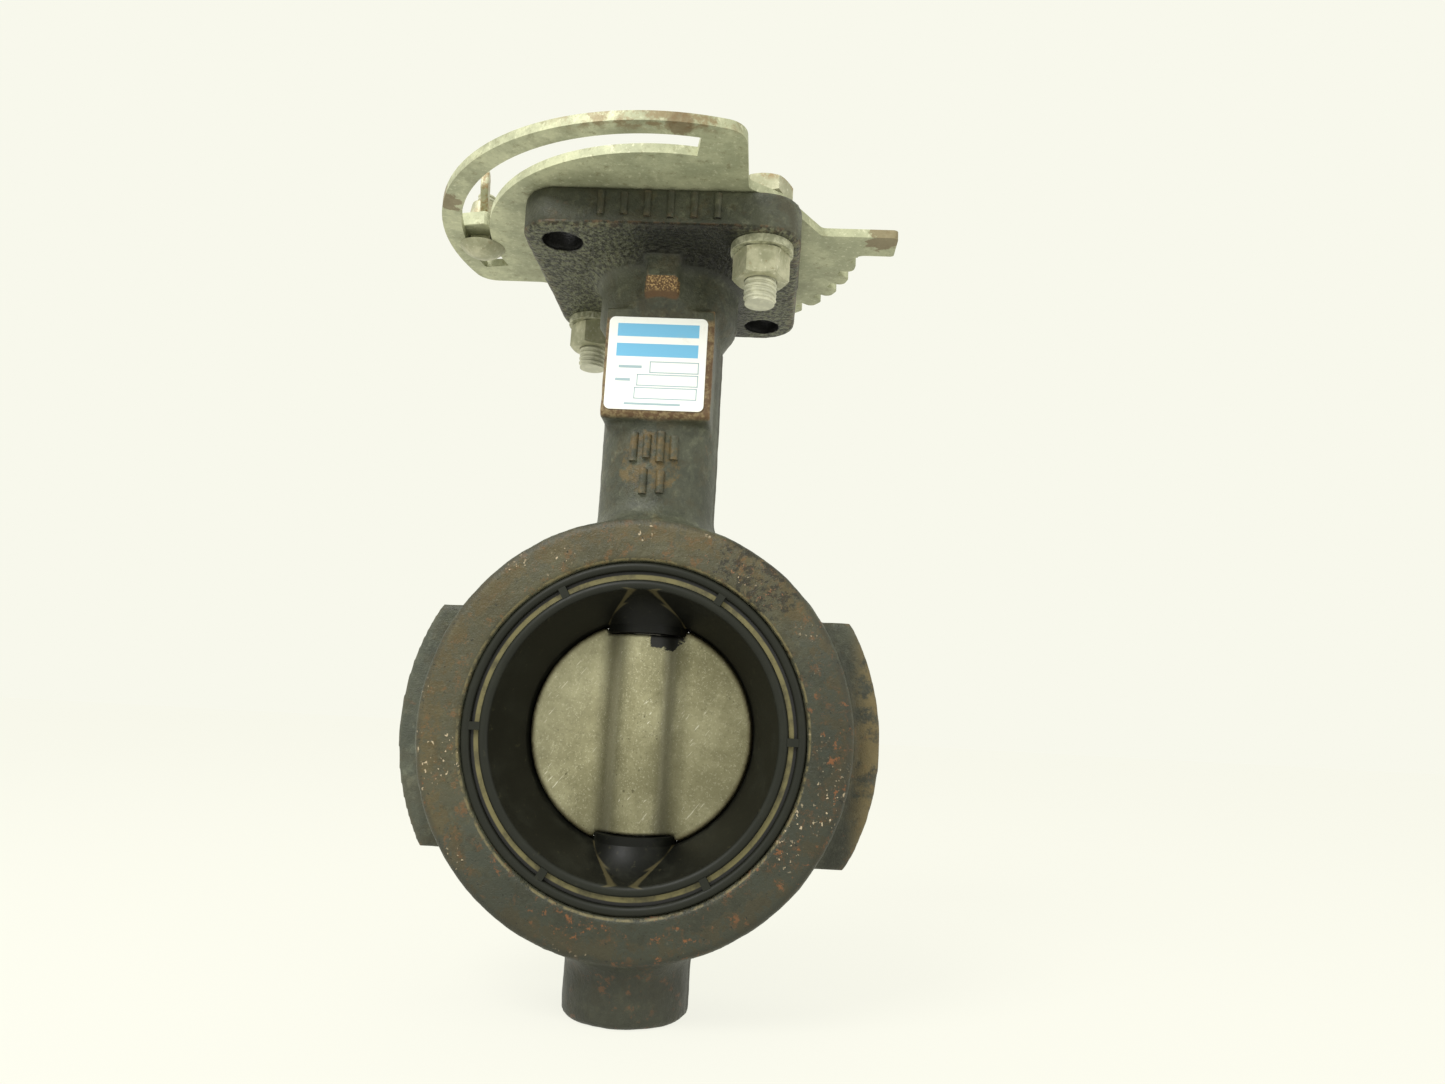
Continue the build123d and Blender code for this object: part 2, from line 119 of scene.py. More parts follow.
def free_copy(node_name, new_name):
    """A copy of a CAD node's mesh with its loose triangles joined, ready for modelling."""
    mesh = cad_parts[node_name].data.copy()
    if "custom_normal" in mesh.attributes:
        mesh.attributes.remove(mesh.attributes["custom_normal"])
    work = bmesh.new()
    work.from_mesh(mesh)
    bmesh.ops.remove_doubles(work, verts=work.verts, dist=0.004 * MM)
    work.to_mesh(mesh)
    work.free()
    return new_piece(new_name, mesh)


def shade(piece, angle=None):
    """Smooth shading, with edges sharper than the angle kept crisp."""
    piece.data.shade_smooth()
    if angle is not None:
        piece.data.set_sharp_from_angle(angle=math.radians(angle))


# %% [markdown]
# ## Camera
#
# The valve is seen from close by with a wide lens, from a little above the floor and looking slightly
# up: that is why the top flange's underside shows. The camera comes first, so every later choice can
# be judged through it.

# %% Camera
camera_data = bpy.data.cameras.new("camera")
camera_data.lens = 24.0
camera_data.sensor_width = 36.0
camera_data.clip_start = 0.01
camera = bpy.data.objects.new("camera", camera_data)
camera.location = (34.34 * MM, -289.31 * MM, 7.72 * MM)
camera.rotation_euler = [math.radians(a) for a in (99.90, -2.96, 2.16)]
scene.collection.objects.link(camera)
scene.camera = camera
scene.view_settings.view_transform = "Standard"
print("camera stands", round(camera.location.z / MM - body_low.z / MM, 1), "mm above the floor")

# %% [markdown]
# ## Floor and light
#
# The valve stands on a pale translucent sheet, lit a little from below, as small parts are often shown:
# the floor then stays evenly bright as far as the eye can follow it, and no hard shadow forms. One
# broad lamp above and to the left models the round shapes, and a weak one fills from the right.

# %% Floor and light
def pale_floor():
    size = 3.0
    low = body_low.z - 0.02 * MM
    mesh = bpy.data.meshes.new("floor")
    corners = [(-size, -size, low), (size, -size, low), (size, size, low), (-size, size, low)]
    mesh.from_pydata(corners, [], [(0, 1, 2, 3)])
    material = bpy.data.materials.new("matt opal acrylic")
    material.use_nodes = True
    shader = material.node_tree.nodes["Principled BSDF"]
    shader.inputs["Base Color"].default_value = linear("#605f58")
    shader.inputs["Roughness"].default_value = 0.9
    shader.inputs["Specular IOR Level"].default_value = 0.0
    shader.inputs["Emission Color"].default_value = linear("#f7f7ec")
    shader.inputs["Emission Strength"].default_value = 0.89
    mesh.materials.append(material)
    new_piece("floor", mesh)


def soft_lamp(name, place, aim, size, power):
    data = bpy.data.lights.new(name, "AREA")
    data.shape = "DISK"
    data.size = size
    data.energy = power
    lamp = bpy.data.objects.new(name, data)
    lamp.location = place
    lamp.rotation_euler = (Vector(place) - Vector(aim)).to_track_quat("Z", "Y").to_euler()
    scene.collection.objects.link(lamp)


def bright_surround():
    world = bpy.data.worlds.new("surround")
    world.use_nodes = True
    backdrop = world.node_tree.nodes["Background"]
    backdrop.inputs["Color"].default_value = linear("#f8f8ec")
    backdrop.inputs["Strength"].default_value = 1.0
    scene.world = world


pale_floor()
bright_surround()
soft_lamp("key", (-0.30, -0.50, 0.60), (0, 0, 0.08), 0.40, 5.0)
soft_lamp("fill", (0.7, -0.5, 0.2), (0, 0, 0.05), 0.5, 1.0)

# %% [markdown]
# ## Materials: shared parts
#
# Every finish below reads Object coordinates, so its grain is a real size in the valve's own frame.
# Noise sizes are given in millimetres and turned into Blender's scale, which counts features a metre.

# %% Start of a material
def start_material(name, roughness, metallic=0.0, specular=0.5):
    material = bpy.data.materials.new(name)
    material.use_nodes = True
    tree = material.node_tree
    shader = tree.nodes["Principled BSDF"]
    shader.inputs["Roughness"].default_value = roughness
    shader.inputs["Metallic"].default_value = metallic
    shader.inputs["Specular IOR Level"].default_value = specular
    place = add(tree, "ShaderNodeTexCoord").outputs["Object"]
    return material, tree, shader, place


def per_mm(size):
    """Blender's texture scale for features of this size in millimetres."""
    return 1.0 / (size * MM)


def grain(tree, place, size, detail=4.0, roughness=0.55):
    """Noise with features of a real size, as a socket from 0 to 1."""
    settings = {"Vector": place, "Scale": per_mm(size), "Detail": detail, "Roughness": roughness}
    return add(tree, "ShaderNodeTexNoise", settings).outputs["Fac"]


def between(tree, value, low, high):
    """A value stretched so that low becomes 0 and high becomes 1, held inside those."""
    inputs = {"Value": value, "From Min": low, "From Max": high}
    return add(tree, "ShaderNodeMapRange", inputs, interpolation_type="SMOOTHSTEP").outputs["Result"]


def mixed(tree, factor, first, second):
    """Two colours mixed by a factor; each is a hex code or a socket."""
    made = add(tree, "ShaderNodeMix", {"Factor": factor}, data_type="RGBA")
    for name, colour in (("A", first), ("B", second)):
        socket = [s for s in made.inputs if s.name == name and s.type == "RGBA"][0]
        if isinstance(colour, str):
            socket.default_value = linear(colour)
        else:
            tree.links.new(colour, socket)
    return [s for s in made.outputs if s.type == "RGBA"][0]


def combined(tree, how, first, second=0.5):
    """Arithmetic on one or two values."""
    return add(tree, "ShaderNodeMath", {0: first, 1: second}, operation=how).outputs["Value"]


def axes(tree, vector):
    """The X, Y and Z of a vector, each as a value."""
    return add(tree, "ShaderNodeSeparateXYZ", {"Vector": vector}).outputs


def painted(tree, shader, colour):
    tree.links.new(colour, shader.inputs["Base Color"])


def bumped(tree, shader, height, strength, distance):
    """Fine relief: strength has no size, distance is in millimetres."""
    inputs = {"Height": height, "Strength": strength, "Distance": distance * MM}
    normal = add(tree, "ShaderNodeBump", inputs).outputs["Normal"]
    tree.links.new(normal, shader.inputs["Normal"])


def window(tree, value, low, high, soft):
    """One between two limits given in millimetres, fading to zero over a soft edge outside them."""
    rise = between(tree, value, (low - soft) * MM, low * MM)
    fall = between(tree, value, (high + soft) * MM, high * MM)
    return combined(tree, "MULTIPLY", rise, fall)


def square(tree, value):
    return combined(tree, "MULTIPLY", value, value)


def radius(tree, first, second):
    """The distance from an axis, from the two coordinates across it."""
    total = combined(tree, "ADD", square(tree, first), square(tree, second))
    return combined(tree, "SQRT", total)


def weakened(tree, factor, share):
    return combined(tree, "MULTIPLY", factor, share)


def ranged(tree, mask, at_zero, at_one):
    """A plain number that goes from one value to another as a mask goes from zero to one."""
    made = add(tree, "ShaderNodeMapRange", {"Value": mask, "To Min": at_zero, "To Max": at_one})
    return made.outputs["Result"]


def patchy(tree, place, size, detail, roughness, low, high):
    """Ragged patches: where a noise of a size in millimetres passes from one level to another."""
    return between(tree, grain(tree, place, size, detail, roughness), low, high)


def tinted(tree, under, over, mask, share):
    """A colour with a share of another over it, where a mask lets it through."""
    return mixed(tree, weakened(tree, mask, share), under, over)


def stain(tree, place, centre, size, ragged):
    """A ragged spot round a point of the piece, in millimetres: 1 inside, 0 outside."""
    centre = Vector(centre) * MM
    moved = add(tree, "ShaderNodeVectorMath", {0: place, 1: centre}, operation="SUBTRACT").outputs["Vector"]
    away = add(tree, "ShaderNodeVectorMath", {0: moved}, operation="LENGTH").outputs["Value"]
    wobble = weakened(tree, grain(tree, place, 4, 6, 0.7), 2 * ragged * MM)
    edge = combined(tree, "ADD", away, wobble)
    return between(tree, edge, (size + ragged) * MM, (size + ragged - 1.0) * MM)


# %% [markdown]
# ## Cast iron
#
# The body is sand-cast ductile iron under a thin worn coat. The eye reads that from several things at
# once: broad grey and olive-brown patches, freckles of orange rust that gather on the bare ring face,
# brown edges where the coat is knocked off, and the coarse skin that the sand left under the flange.
# Painted light and shade are laid over that: the ring paler at its upper left and darker at its lower
# right, paler patches where light falls on the left ear, the collar and the neck, painted glints on the
# rib, and painted shade in the hollows, under the flange, inside the bolt holes and on the ring's rounded
# outer edge. Each is one noise pattern at its own real size, and a mask from the position keeps it in its
# place. The Geometry node's pointiness finds edges and hollows.

# %% Cast iron: where each kind of wear sits
def face_mask(tree, parts):
    """The bare machined faces of the ring."""
    out = combined(tree, "ABSOLUTE", parts["Y"])
    reach = radius(tree, parts["X"], parts["Z"])
    return weakened(tree, between(tree, out, 21.8 * MM, 22.6 * MM), between(tree, reach, 64 * MM, 62 * MM))


def sand_mask(tree, parts, facing):
    """The rough underside of the flange."""
    under = between(tree, facing["Z"], -0.3, -0.8)
    return weakened(tree, under, between(tree, parts["Z"], 137 * MM, 139 * MM))


def low_right_mask(tree, parts):
    """Fades in towards the bottom and the right of the ring."""
    slope = combined(tree, "SUBTRACT", weakened(tree, parts["X"], 0.6), parts["Z"])
    return between(tree, slope, -35 * MM, 55 * MM)


# %% Cast iron: colours
def coat_colour(tree, place, parts):
    patches = patchy(tree, place, 17, 8, 0.66, 0.42, 0.60)
    coat = mixed(tree, patches, "#3f4235", "#585a48")
    olive = patchy(tree, place, 8, 9, 0.7, 0.50, 0.60)
    coat = tinted(tree, coat, "#4c442c", olive, 0.6)
    film = patchy(tree, place, 1.8, 7, 0.75, 0.48, 0.66)
    coat = tinted(tree, coat, "#777965", film, 0.4)
    grime = patchy(tree, place, 2.4, 8, 0.75, 0.46, 0.36)
    coat = tinted(tree, coat, "#24231b", grime, 0.5)
    lower = low_right_mask(tree, parts)
    # Painted shade: the coat darker towards the bottom and the right of the ring.
    return tinted(tree, coat, "#2f2c21", lower, 0.4)


def rust_and_painted_light(tree, place, parts, coat):
    # Rust on the ring, with painted light and shade on its face and rounded edge.
    face = face_mask(tree, parts)
    lower = low_right_mask(tree, parts)
    coat = tinted(tree, coat, "#2b2a1e", face, 0.45)
    reach = radius(tree, parts["X"], parts["Z"])
    ragged = combined(tree, "ADD", reach, weakened(tree, grain(tree, place, 9, 10, 0.75), 14 * MM))
    outer = weakened(tree, between(tree, ragged, 60.2 * MM, 61.2 * MM), face)
    coat = tinted(tree, coat, "#58482a", outer, 0.35)
    skin = weakened(tree, patchy(tree, place, 7, 10, 0.78, 0.50, 0.54), face)
    coat = tinted(tree, coat, "#3e4238", skin, 0.75)
    red = patchy(tree, place, 4.0, 10, 0.8, 0.55, 0.61)
    coat = tinted(tree, coat, "#6b4a2c", weakened(tree, red, face), 0.6)
    # Painted light: the face paler towards the top and the left.
    lit = weakened(tree, between(tree, lower, 0.45, 0.1), face)
    coat = tinted(tree, coat, "#66582f", lit, 0.2)
    # Painted shade on the ring's rounded outer edge, broken up by noise.
    turned = between(tree, reach, 57.8 * MM, 59.2 * MM)
    turned = weakened(tree, turned, patchy(tree, place, 5, 7, 0.7, 0.36, 0.48))
    coat = tinted(tree, coat, "#2b2d25", turned, 0.45)
    # Painted shade: the face darker again towards the bottom and the right.
    coat = tinted(tree, coat, "#272a1e", weakened(tree, between(tree, lower, 0.25, 0.8), face), 0.5)
    scabs = stain(tree, place, (33, -23, 45), 13, 6)
    scabs = weakened(tree, scabs, patchy(tree, place, 2.6, 9, 0.78, 0.50, 0.54))
    coat = tinted(tree, coat, "#1b1a13", scabs, 0.7)
    flakes = stain(tree, place, (31, -23, 47), 15, 6)
    flakes = weakened(tree, flakes, patchy(tree, place, 2.2, 9, 0.78, 0.59, 0.63))
    coat = tinted(tree, coat, "#8a6144", flakes, 0.7)
    gathered = combined(tree, "ADD", grain(tree, place, 15, 3, 0.5), weakened(tree, lower, 0.16))
    where = between(tree, gathered, 0.56, 0.70)
    freckles = patchy(tree, place, 3.2, 9, 0.76, 0.56, 0.62)
    orange = weakened(tree, weakened(tree, freckles, where), combined(tree, "MAXIMUM", face, 0.35))
    coat = tinted(tree, coat, "#80502c", orange, 0.75)
    lip = weakened(tree, window(tree, reach, 48.2, 48.5, 0.3), patchy(tree, place, 3, 6, 0.7, 0.40, 0.55))
    coat = tinted(tree, coat, "#857a54", weakened(tree, lip, face), 0.55)
    chips = patchy(tree, place, 1.1, 3, 0.5, 0.62, 0.67)
    spread = patchy(tree, place, 13, 3, 0.5, 0.55, 0.63)
    spread = combined(tree, "MAXIMUM", spread, stain(tree, place, (-52, -23, -8), 7, 5))
    chips = weakened(tree, weakened(tree, chips, spread), face)
    coat = tinted(tree, coat, "#b5a488", chips, 0.9)
    pits = patchy(tree, place, 1.0, 4, 0.6, 0.38, 0.31)
    return tinted(tree, coat, "#1b1b15", weakened(tree, pits, face), 0.8)


def painted_light_and_darker_parts(tree, parts, coat):
    """Painted light: the coat is paler where light falls on the left ear, the collar and the neck's right;
    the boss and the flange's left are made darker.
    """
    left_ear = between(tree, parts["X"], -56 * MM, -62 * MM)
    left_ear = weakened(tree, left_ear, window(tree, parts["Z"], -36, 36, 1))
    coat = tinted(tree, coat, "#848a7d", left_ear, 0.2)
    right = weakened(tree, between(tree, parts["X"], 2 * MM, 14 * MM), window(tree, parts["Z"], 62, 90, 3))
    coat = tinted(tree, coat, "#7f836e", right, 0.15)
    collar = window(tree, parts["Z"], 112, 137, 4)
    collar = weakened(tree, collar, between(tree, parts["X"], -6 * MM, -12 * MM))
    coat = tinted(tree, coat, "#787a62", collar, 0.35)
    boss = between(tree, parts["Z"], -58 * MM, -64 * MM)
    coat = tinted(tree, coat, "#232319", boss, 0.5)
    front = between(tree, parts["Z"], 139 * MM, 141 * MM)
    front = weakened(tree, front, between(tree, parts["X"], 20 * MM, -10 * MM))
    return tinted(tree, coat, "#2b2b20", front, 0.35)


def local_stains(tree, place, parts, coat):
    """Marks that belong to one spot: round the cast marks, on the rib with painted glints, along the
    flange's lower edge.
    """
    neck = stain(tree, place, (-1, -17, 78), 9.5, 5)
    neck = weakened(tree, neck, patchy(tree, place, 3.5, 6, 0.7, 0.42, 0.60))
    coat = tinted(tree, coat, "#6b5833", neck, 0.65)
    off_collar = between(tree, radius(tree, parts["X"], parts["Y"]), 21.9 * MM, 22.4 * MM)
    rib = weakened(tree, off_collar, window(tree, parts["Z"], 123, 131.9, 0.4))
    rib = weakened(tree, rib, window(tree, parts["X"], -5.2, 5.2, 0.6))
    coat = tinted(tree, coat, "#5d4022", rib, 0.8)
    # Painted glints: bright tan specks on the rib's upper part.
    glint = weakened(tree, rib, patchy(tree, place, 0.5, 3, 0.5, 0.48, 0.62))
    glint = weakened(tree, glint, between(tree, parts["Z"], 128.2 * MM, 129.2 * MM))
    coat = tinted(tree, coat, "#b99a66", glint, 0.8)
    pad = window(tree, parts["Z"], 89.5, 120, 1.5)
    pad = weakened(tree, pad, between(tree, parts["Y"], -18.2 * MM, -19.7 * MM))
    crust = mixed(tree, patchy(tree, place, 1.6, 7, 0.7, 0.44, 0.60), "#5f4429", "#8d7a56")
    coat = tinted(tree, coat, crust, pad, 0.8)
    rim = window(tree, parts["Z"], 139.7, 140.9, 0.6)
    rim = weakened(tree, rim, patchy(tree, place, 3, 7, 0.7, 0.44, 0.58))
    along, across = (combined(tree, "ABSOLUTE", parts[axis]) for axis in "XY")
    out = combined(tree, "MAXIMUM", along, across)
    rim = weakened(tree, rim, between(tree, out, 37 * MM, 39 * MM))
    coat = tinted(tree, coat, "#76583a", rim, 0.7)
    ears = weakened(tree, between(tree, parts["X"], 58 * MM, 66 * MM), window(tree, parts["Z"], -36, 36, 1))
    ears = weakened(tree, ears, between(tree, parts["Y"], 6 * MM, -9 * MM))
    ears = weakened(tree, ears, patchy(tree, place, 6, 9, 0.75, 0.40, 0.54))
    return tinted(tree, coat, "#776741", ears, 0.65)


def hole_shade_mask(tree, parts):
    """Inside the four bolt holes of the flange, painted black as shade."""
    hole_offset = 29.19 * MM
    across = combined(tree, "SUBTRACT", combined(tree, "ABSOLUTE", parts["X"]), hole_offset)
    along = combined(tree, "SUBTRACT", combined(tree, "ABSOLUTE", parts["Y"]), hole_offset)
    inside = between(tree, radius(tree, across, along), 6.3 * MM, 5.9 * MM)
    return weakened(tree, inside, between(tree, parts["Z"], 139 * MM, 140.2 * MM))


def under_flange_shade_mask(tree, parts, facing):
    """Painted shade: the corner under the flange, beside the neck."""
    under = between(tree, facing["Z"], -0.1, -0.6)
    inner = between(tree, parts["X"], -22 * MM, 0.0)
    inner = weakened(tree, inner, between(tree, parts["X"], 30 * MM, 18 * MM))
    return weakened(tree, weakened(tree, under, inner), between(tree, parts["Z"], 134 * MM, 139 * MM))


def cast_iron(name, edge_rust):
    material, tree, shader, place = start_material(name, 0.48, specular=0.35)
    parts = axes(tree, place)
    normal = [node for node in tree.nodes if node.type == "TEX_COORD"][0].outputs["Normal"]
    facing = axes(tree, normal)
    coat = painted_light_and_darker_parts(tree, parts, coat_colour(tree, place, parts))
    coat = rust_and_painted_light(tree, place, parts, coat)
    coat = local_stains(tree, place, parts, coat)

    sand = sand_mask(tree, parts, facing)
    sandy = patchy(tree, place, 1.3, 3, 0.6, 0.40, 0.62)
    coat = tinted(tree, coat, mixed(tree, sandy, "#2f2f23", "#74765c"), sand, 0.75)
    # Painted shade under the flange, beside the neck.
    coat = tinted(tree, coat, "#131310", under_flange_shade_mask(tree, parts, facing), 0.85)

    edge = add(tree, "ShaderNodeNewGeometry").outputs["Pointiness"]
    worn = weakened(tree, between(tree, edge, 0.53, 0.60), patchy(tree, place, 2.6, 6, 0.65, 0.42, 0.60))
    coat = tinted(tree, coat, "#85694a", worn, edge_rust)
    # Painted shade: hollows, where pointiness is low, are darkened.
    coat = tinted(tree, coat, "#1e1e16", between(tree, edge, 0.475, 0.42), 0.7)
    # Painted shade: the insides of the bolt holes are painted black.
    coat = mixed(tree, hole_shade_mask(tree, parts), coat, "#080806")
    painted(tree, shader, coat)

    finest = weakened(tree, grain(tree, place, 0.4, 2, 0.5), 0.6)
    fine = combined(tree, "ADD", grain(tree, place, 1.1, 3, 0.6), finest)
    coarse = weakened(tree, weakened(tree, grain(tree, place, 1.4, 3, 0.55), sand), 7.0)
    bumped(tree, shader, combined(tree, "ADD", fine, coarse), 0.8, 0.28)
    return material


# %% [markdown]
# ## Rubber and resin
#
# The seat is moulded nitrile rubber: nearly black, with a painted sheen on the beads, painted shade
# towards the top of the bore, grey dust, and tan flash lines where two halves of the mould met round each
# stem seat. The line lies where the seat's flare crosses the bore's cone, so both surfaces are written as
# formulas and the line is drawn where a point is near to both. The stiff resin ring that shows between the
# beads is a dull khaki, with painted shade, black, along its outer edge deep between the beads.

# %% Rubber and resin
def flash_line(tree, parts):
    away = radius(tree, parts["X"], parts["Y"])
    rise = combined(tree, "SUBTRACT", combined(tree, "ABSOLUTE", parts["Z"]), 31 * MM)
    above = between(tree, rise, -0.3 * MM, 0.1 * MM)
    bend = weakened(tree, square(tree, rise), 0.13 / MM)
    seat = combined(tree, "ADD", combined(tree, "ADD", bend, weakened(tree, rise, 0.054)), 12 * MM)
    off_seat = combined(tree, "ABSOLUTE", combined(tree, "SUBTRACT", away, seat))
    reach = radius(tree, parts["X"], parts["Z"])
    cone = combined(tree, "ADD", weakened(tree, combined(tree, "ABSOLUTE", parts["Y"]), 0.3765), 31.52 * MM)
    off_cone = combined(tree, "ABSOLUTE", combined(tree, "SUBTRACT", reach, cone))
    near_seat = between(tree, off_seat, 0.5 * MM, 0.2 * MM)
    return weakened(tree, weakened(tree, near_seat, above), between(tree, off_cone, 0.5 * MM, 0.2 * MM))


def moulded_rubber():
    material, tree, shader, place = start_material("moulded nitrile rubber", 0.44, specular=0.2)
    parts = axes(tree, place)
    dust = patchy(tree, place, 8, 7, 0.65, 0.46, 0.72)
    colour = mixed(tree, weakened(tree, dust, 0.6), "#0e0f0b", "#25261d")
    smudge = patchy(tree, place, 2.4, 7, 0.7, 0.60, 0.70)
    colour = tinted(tree, colour, "#43412f", smudge, 0.4)
    # Painted shade: darker towards the top of the bore.
    colour = tinted(tree, colour, "#0a0a07", between(tree, parts["Z"], 12 * MM, 34 * MM), 0.5)
    # Painted sheen: the front faces of the beads are painted paler.
    beads = between(tree, combined(tree, "ABSOLUTE", parts["Y"]), 21.9 * MM, 22.6 * MM)
    colour = tinted(tree, colour, "#2b2d25", beads, 0.5)
    colour = tinted(tree, colour, "#6a6142", flash_line(tree, parts), 0.4)
    painted(tree, shader, colour)
    tree.links.new(ranged(tree, dust, 0.46, 0.62), shader.inputs["Roughness"])
    bumped(tree, shader, grain(tree, place, 0.8, 3, 0.5), 0.25, 0.06)
    return material


def khaki_resin():
    material, tree, shader, place = start_material("glass-filled phenolic resin", 0.6)
    dirt = patchy(tree, place, 4, 6, 0.65, 0.42, 0.70)
    colour = mixed(tree, weakened(tree, dirt, 0.8), "#6e6740", "#3b3721")
    parts = axes(tree, place)
    # Painted shade: the outer edge of the band, deep between the beads, is painted black.
    gap = between(tree, radius(tree, parts["X"], parts["Z"]), 43.9 * MM, 44.2 * MM)
    colour = mixed(tree, gap, colour, "#0c0c09")
    painted(tree, shader, colour)
    bumped(tree, shader, grain(tree, place, 0.5, 3, 0.5), 0.3, 0.08)
    return material


# %% [markdown]
# ## The disc's metal
#
# The disc is a cast bronze alloy with a nickel-grey skin. It is metallic, but its blasted surface is far
# too rough to mirror anything, so it reads as a warm dull silver with a glittery speckle, fine dark
# pits, a few bright scratches and a brown rim where it rubs the seat. A torn film of black rubber from
# the seat sticks to the upper end of the hub. Painted light and shade lie over it: the upper left paler,
# the lower right darker, and a painted highlight and a band of painted shade on each side of the hub.

# %% The disc's metal
def rubber_smear(tree, place):
    moved = add(tree, "ShaderNodeMapping", {"Vector": place, "Location": (-0.0062, 0.0085, -0.0272)})
    moved = moved.outputs["Vector"]
    flat = add(tree, "ShaderNodeMapping", {"Vector": moved, "Scale": (0.8, 0.4, 1.25)}).outputs["Vector"]
    away = add(tree, "ShaderNodeVectorMath", {0: flat}, operation="LENGTH").outputs["Value"]
    ragged = weakened(tree, grain(tree, place, 2.6, 6, 0.75), 7 * MM)
    return between(tree, combined(tree, "ADD", away, ragged), 7.8 * MM, 7.3 * MM)


def disc_metal():
    material, tree, shader, place = start_material("blasted nickel-aluminium bronze", 0.48, 0.8)
    parts = axes(tree, place)
    cloud = patchy(tree, place, 13, 6, 0.62, 0.36, 0.68)
    colour = mixed(tree, cloud, "#8c8869", "#aca887")
    speck = patchy(tree, place, 0.55, 5, 0.7, 0.54, 0.66)
    colour = tinted(tree, colour, "#d6d2b6", speck, 0.6)
    dull = patchy(tree, place, 0.8, 6, 0.75, 0.46, 0.36)
    colour = tinted(tree, colour, "#6d6950", dull, 0.5)
    pits = patchy(tree, place, 1.2, 4, 0.6, 0.35, 0.29)
    colour = tinted(tree, colour, "#4b4733", pits, 0.8)
    leaning = add(tree, "ShaderNodeMapping", {"Vector": place, "Rotation": (0, 0.9, 0)}).outputs["Vector"]
    along = add(tree, "ShaderNodeMapping", {"Vector": leaning, "Scale": (0.1, 1.0, 1.0)}).outputs["Vector"]
    scratch = patchy(tree, along, 0.5, 2, 0.5, 0.66, 0.70)
    scratch = weakened(tree, scratch, patchy(tree, place, 12, 2, 0.5, 0.50, 0.58))
    colour = tinted(tree, colour, "#ece8d2", scratch, 0.8)
    # Painted highlight and painted shade: a pale band and a dark band on each side of the hub.
    off_axis = combined(tree, "ABSOLUTE", parts["X"])
    colour = tinted(tree, colour, "#e0dcc0", window(tree, off_axis, 7.4, 8.4, 1.6), 0.28)
    colour = tinted(tree, colour, "#5b5842", window(tree, off_axis, 10.6, 11.4, 3.4), 0.36)
    # Painted light and shade: darker towards the lower right, paler towards the upper left.
    down = combined(tree, "SUBTRACT", weakened(tree, parts["X"], 1.2), parts["Z"])
    colour = tinted(tree, colour, "#67644c", between(tree, down, -26 * MM, 26 * MM), 0.45)
    colour = tinted(tree, colour, "#d2ceaf", between(tree, down, -8 * MM, -40 * MM), 0.25)
    rim = between(tree, radius(tree, parts["X"], parts["Z"]), 30.6 * MM, 32.0 * MM)
    colour = tinted(tree, colour, "#544c33", rim, 0.7)
    smear = rubber_smear(tree, place)
    colour = mixed(tree, smear, colour, "#10100c")
    painted(tree, shader, colour)
    tree.links.new(ranged(tree, smear, 0.8, 0.0), shader.inputs["Metallic"])
    tree.links.new(ranged(tree, cloud, 0.56, 0.46), shader.inputs["Roughness"])
    bumped(tree, shader, grain(tree, place, 0.9, 4, 0.6), 0.4, 0.1)
    return material


# %% [markdown]
# ## Zinc
#
# The plate is hot-dipped steel sheet: a dull grey-green coat with a mottled pattern, whiter along its
# cut edges, brown where it was struck. The bolts and nuts are zinc-plated, paler and warmer, with brown
# lines where the plating is rubbed off their corners. Stains are placed on the piece itself.

# %% Zinc-coated sheet
def galvanised_sheet():
    material, tree, shader, place = start_material("hot-dipped galvanised sheet", 0.55, 0.2)
    parts = axes(tree, place)
    cloud = patchy(tree, place, 11, 7, 0.65, 0.38, 0.66)
    colour = mixed(tree, cloud, "#9fa284", "#c3c5a3")
    right = between(tree, parts["X"], -45 * MM, 35 * MM)
    colour = tinted(tree, colour, "#8d9070", right, 0.3)
    deep = between(tree, radius(tree, parts["X"], parts["Y"]), 57 * MM, 50 * MM)
    deep = weakened(tree, deep, between(tree, parts["X"], -8 * MM, -20 * MM))
    colour = tinted(tree, colour, "#6a6c50", deep, 0.2)
    speck = patchy(tree, place, 1.5, 5, 0.7, 0.54, 0.68)
    colour = tinted(tree, colour, "#deddbe", speck, 0.5)
    dark = patchy(tree, place, 2.6, 8, 0.75, 0.55, 0.66)
    colour = tinted(tree, colour, "#7b7655", dark, 0.6)
    dull = patchy(tree, place, 19, 8, 0.7, 0.52, 0.62)
    colour = tinted(tree, colour, "#86866a", dull, 0.45)
    near_rim = between(tree, parts["Y"], -65.5 * MM, -70.5 * MM)
    rim_rust = weakened(tree, near_rim, patchy(tree, place, 4, 8, 0.7, 0.45, 0.60))
    colour = tinted(tree, colour, "#7b6540", rim_rust, 0.75)
    for centre, size in (((-66, -30, 152), 6), ((67, -13, 153), 6), ((8, -70, 152), 4)):
        colour = tinted(tree, colour, "#6a5230", stain(tree, place, centre, size, size), 0.7)
    fine = patchy(tree, place, 0.7, 6, 0.75, 0.44, 0.34)
    colour = tinted(tree, colour, "#6d6d50", fine, 0.35)
    painted(tree, shader, colour)
    bumped(tree, shader, grain(tree, place, 1.2, 5, 0.65), 0.45, 0.14)
    return material


def cut_edge():
    """Where the sheet was sheared the zinc lies thick and white, with brown at its very corner."""
    material, tree, shader, place = start_material("zinc on a sheared edge", 0.5, 0.1)
    patch = patchy(tree, place, 2.2, 6, 0.7, 0.46, 0.62)
    colour = mixed(tree, patch, "#d4d5ba", "#80704e")
    painted(tree, shader, colour)
    return material


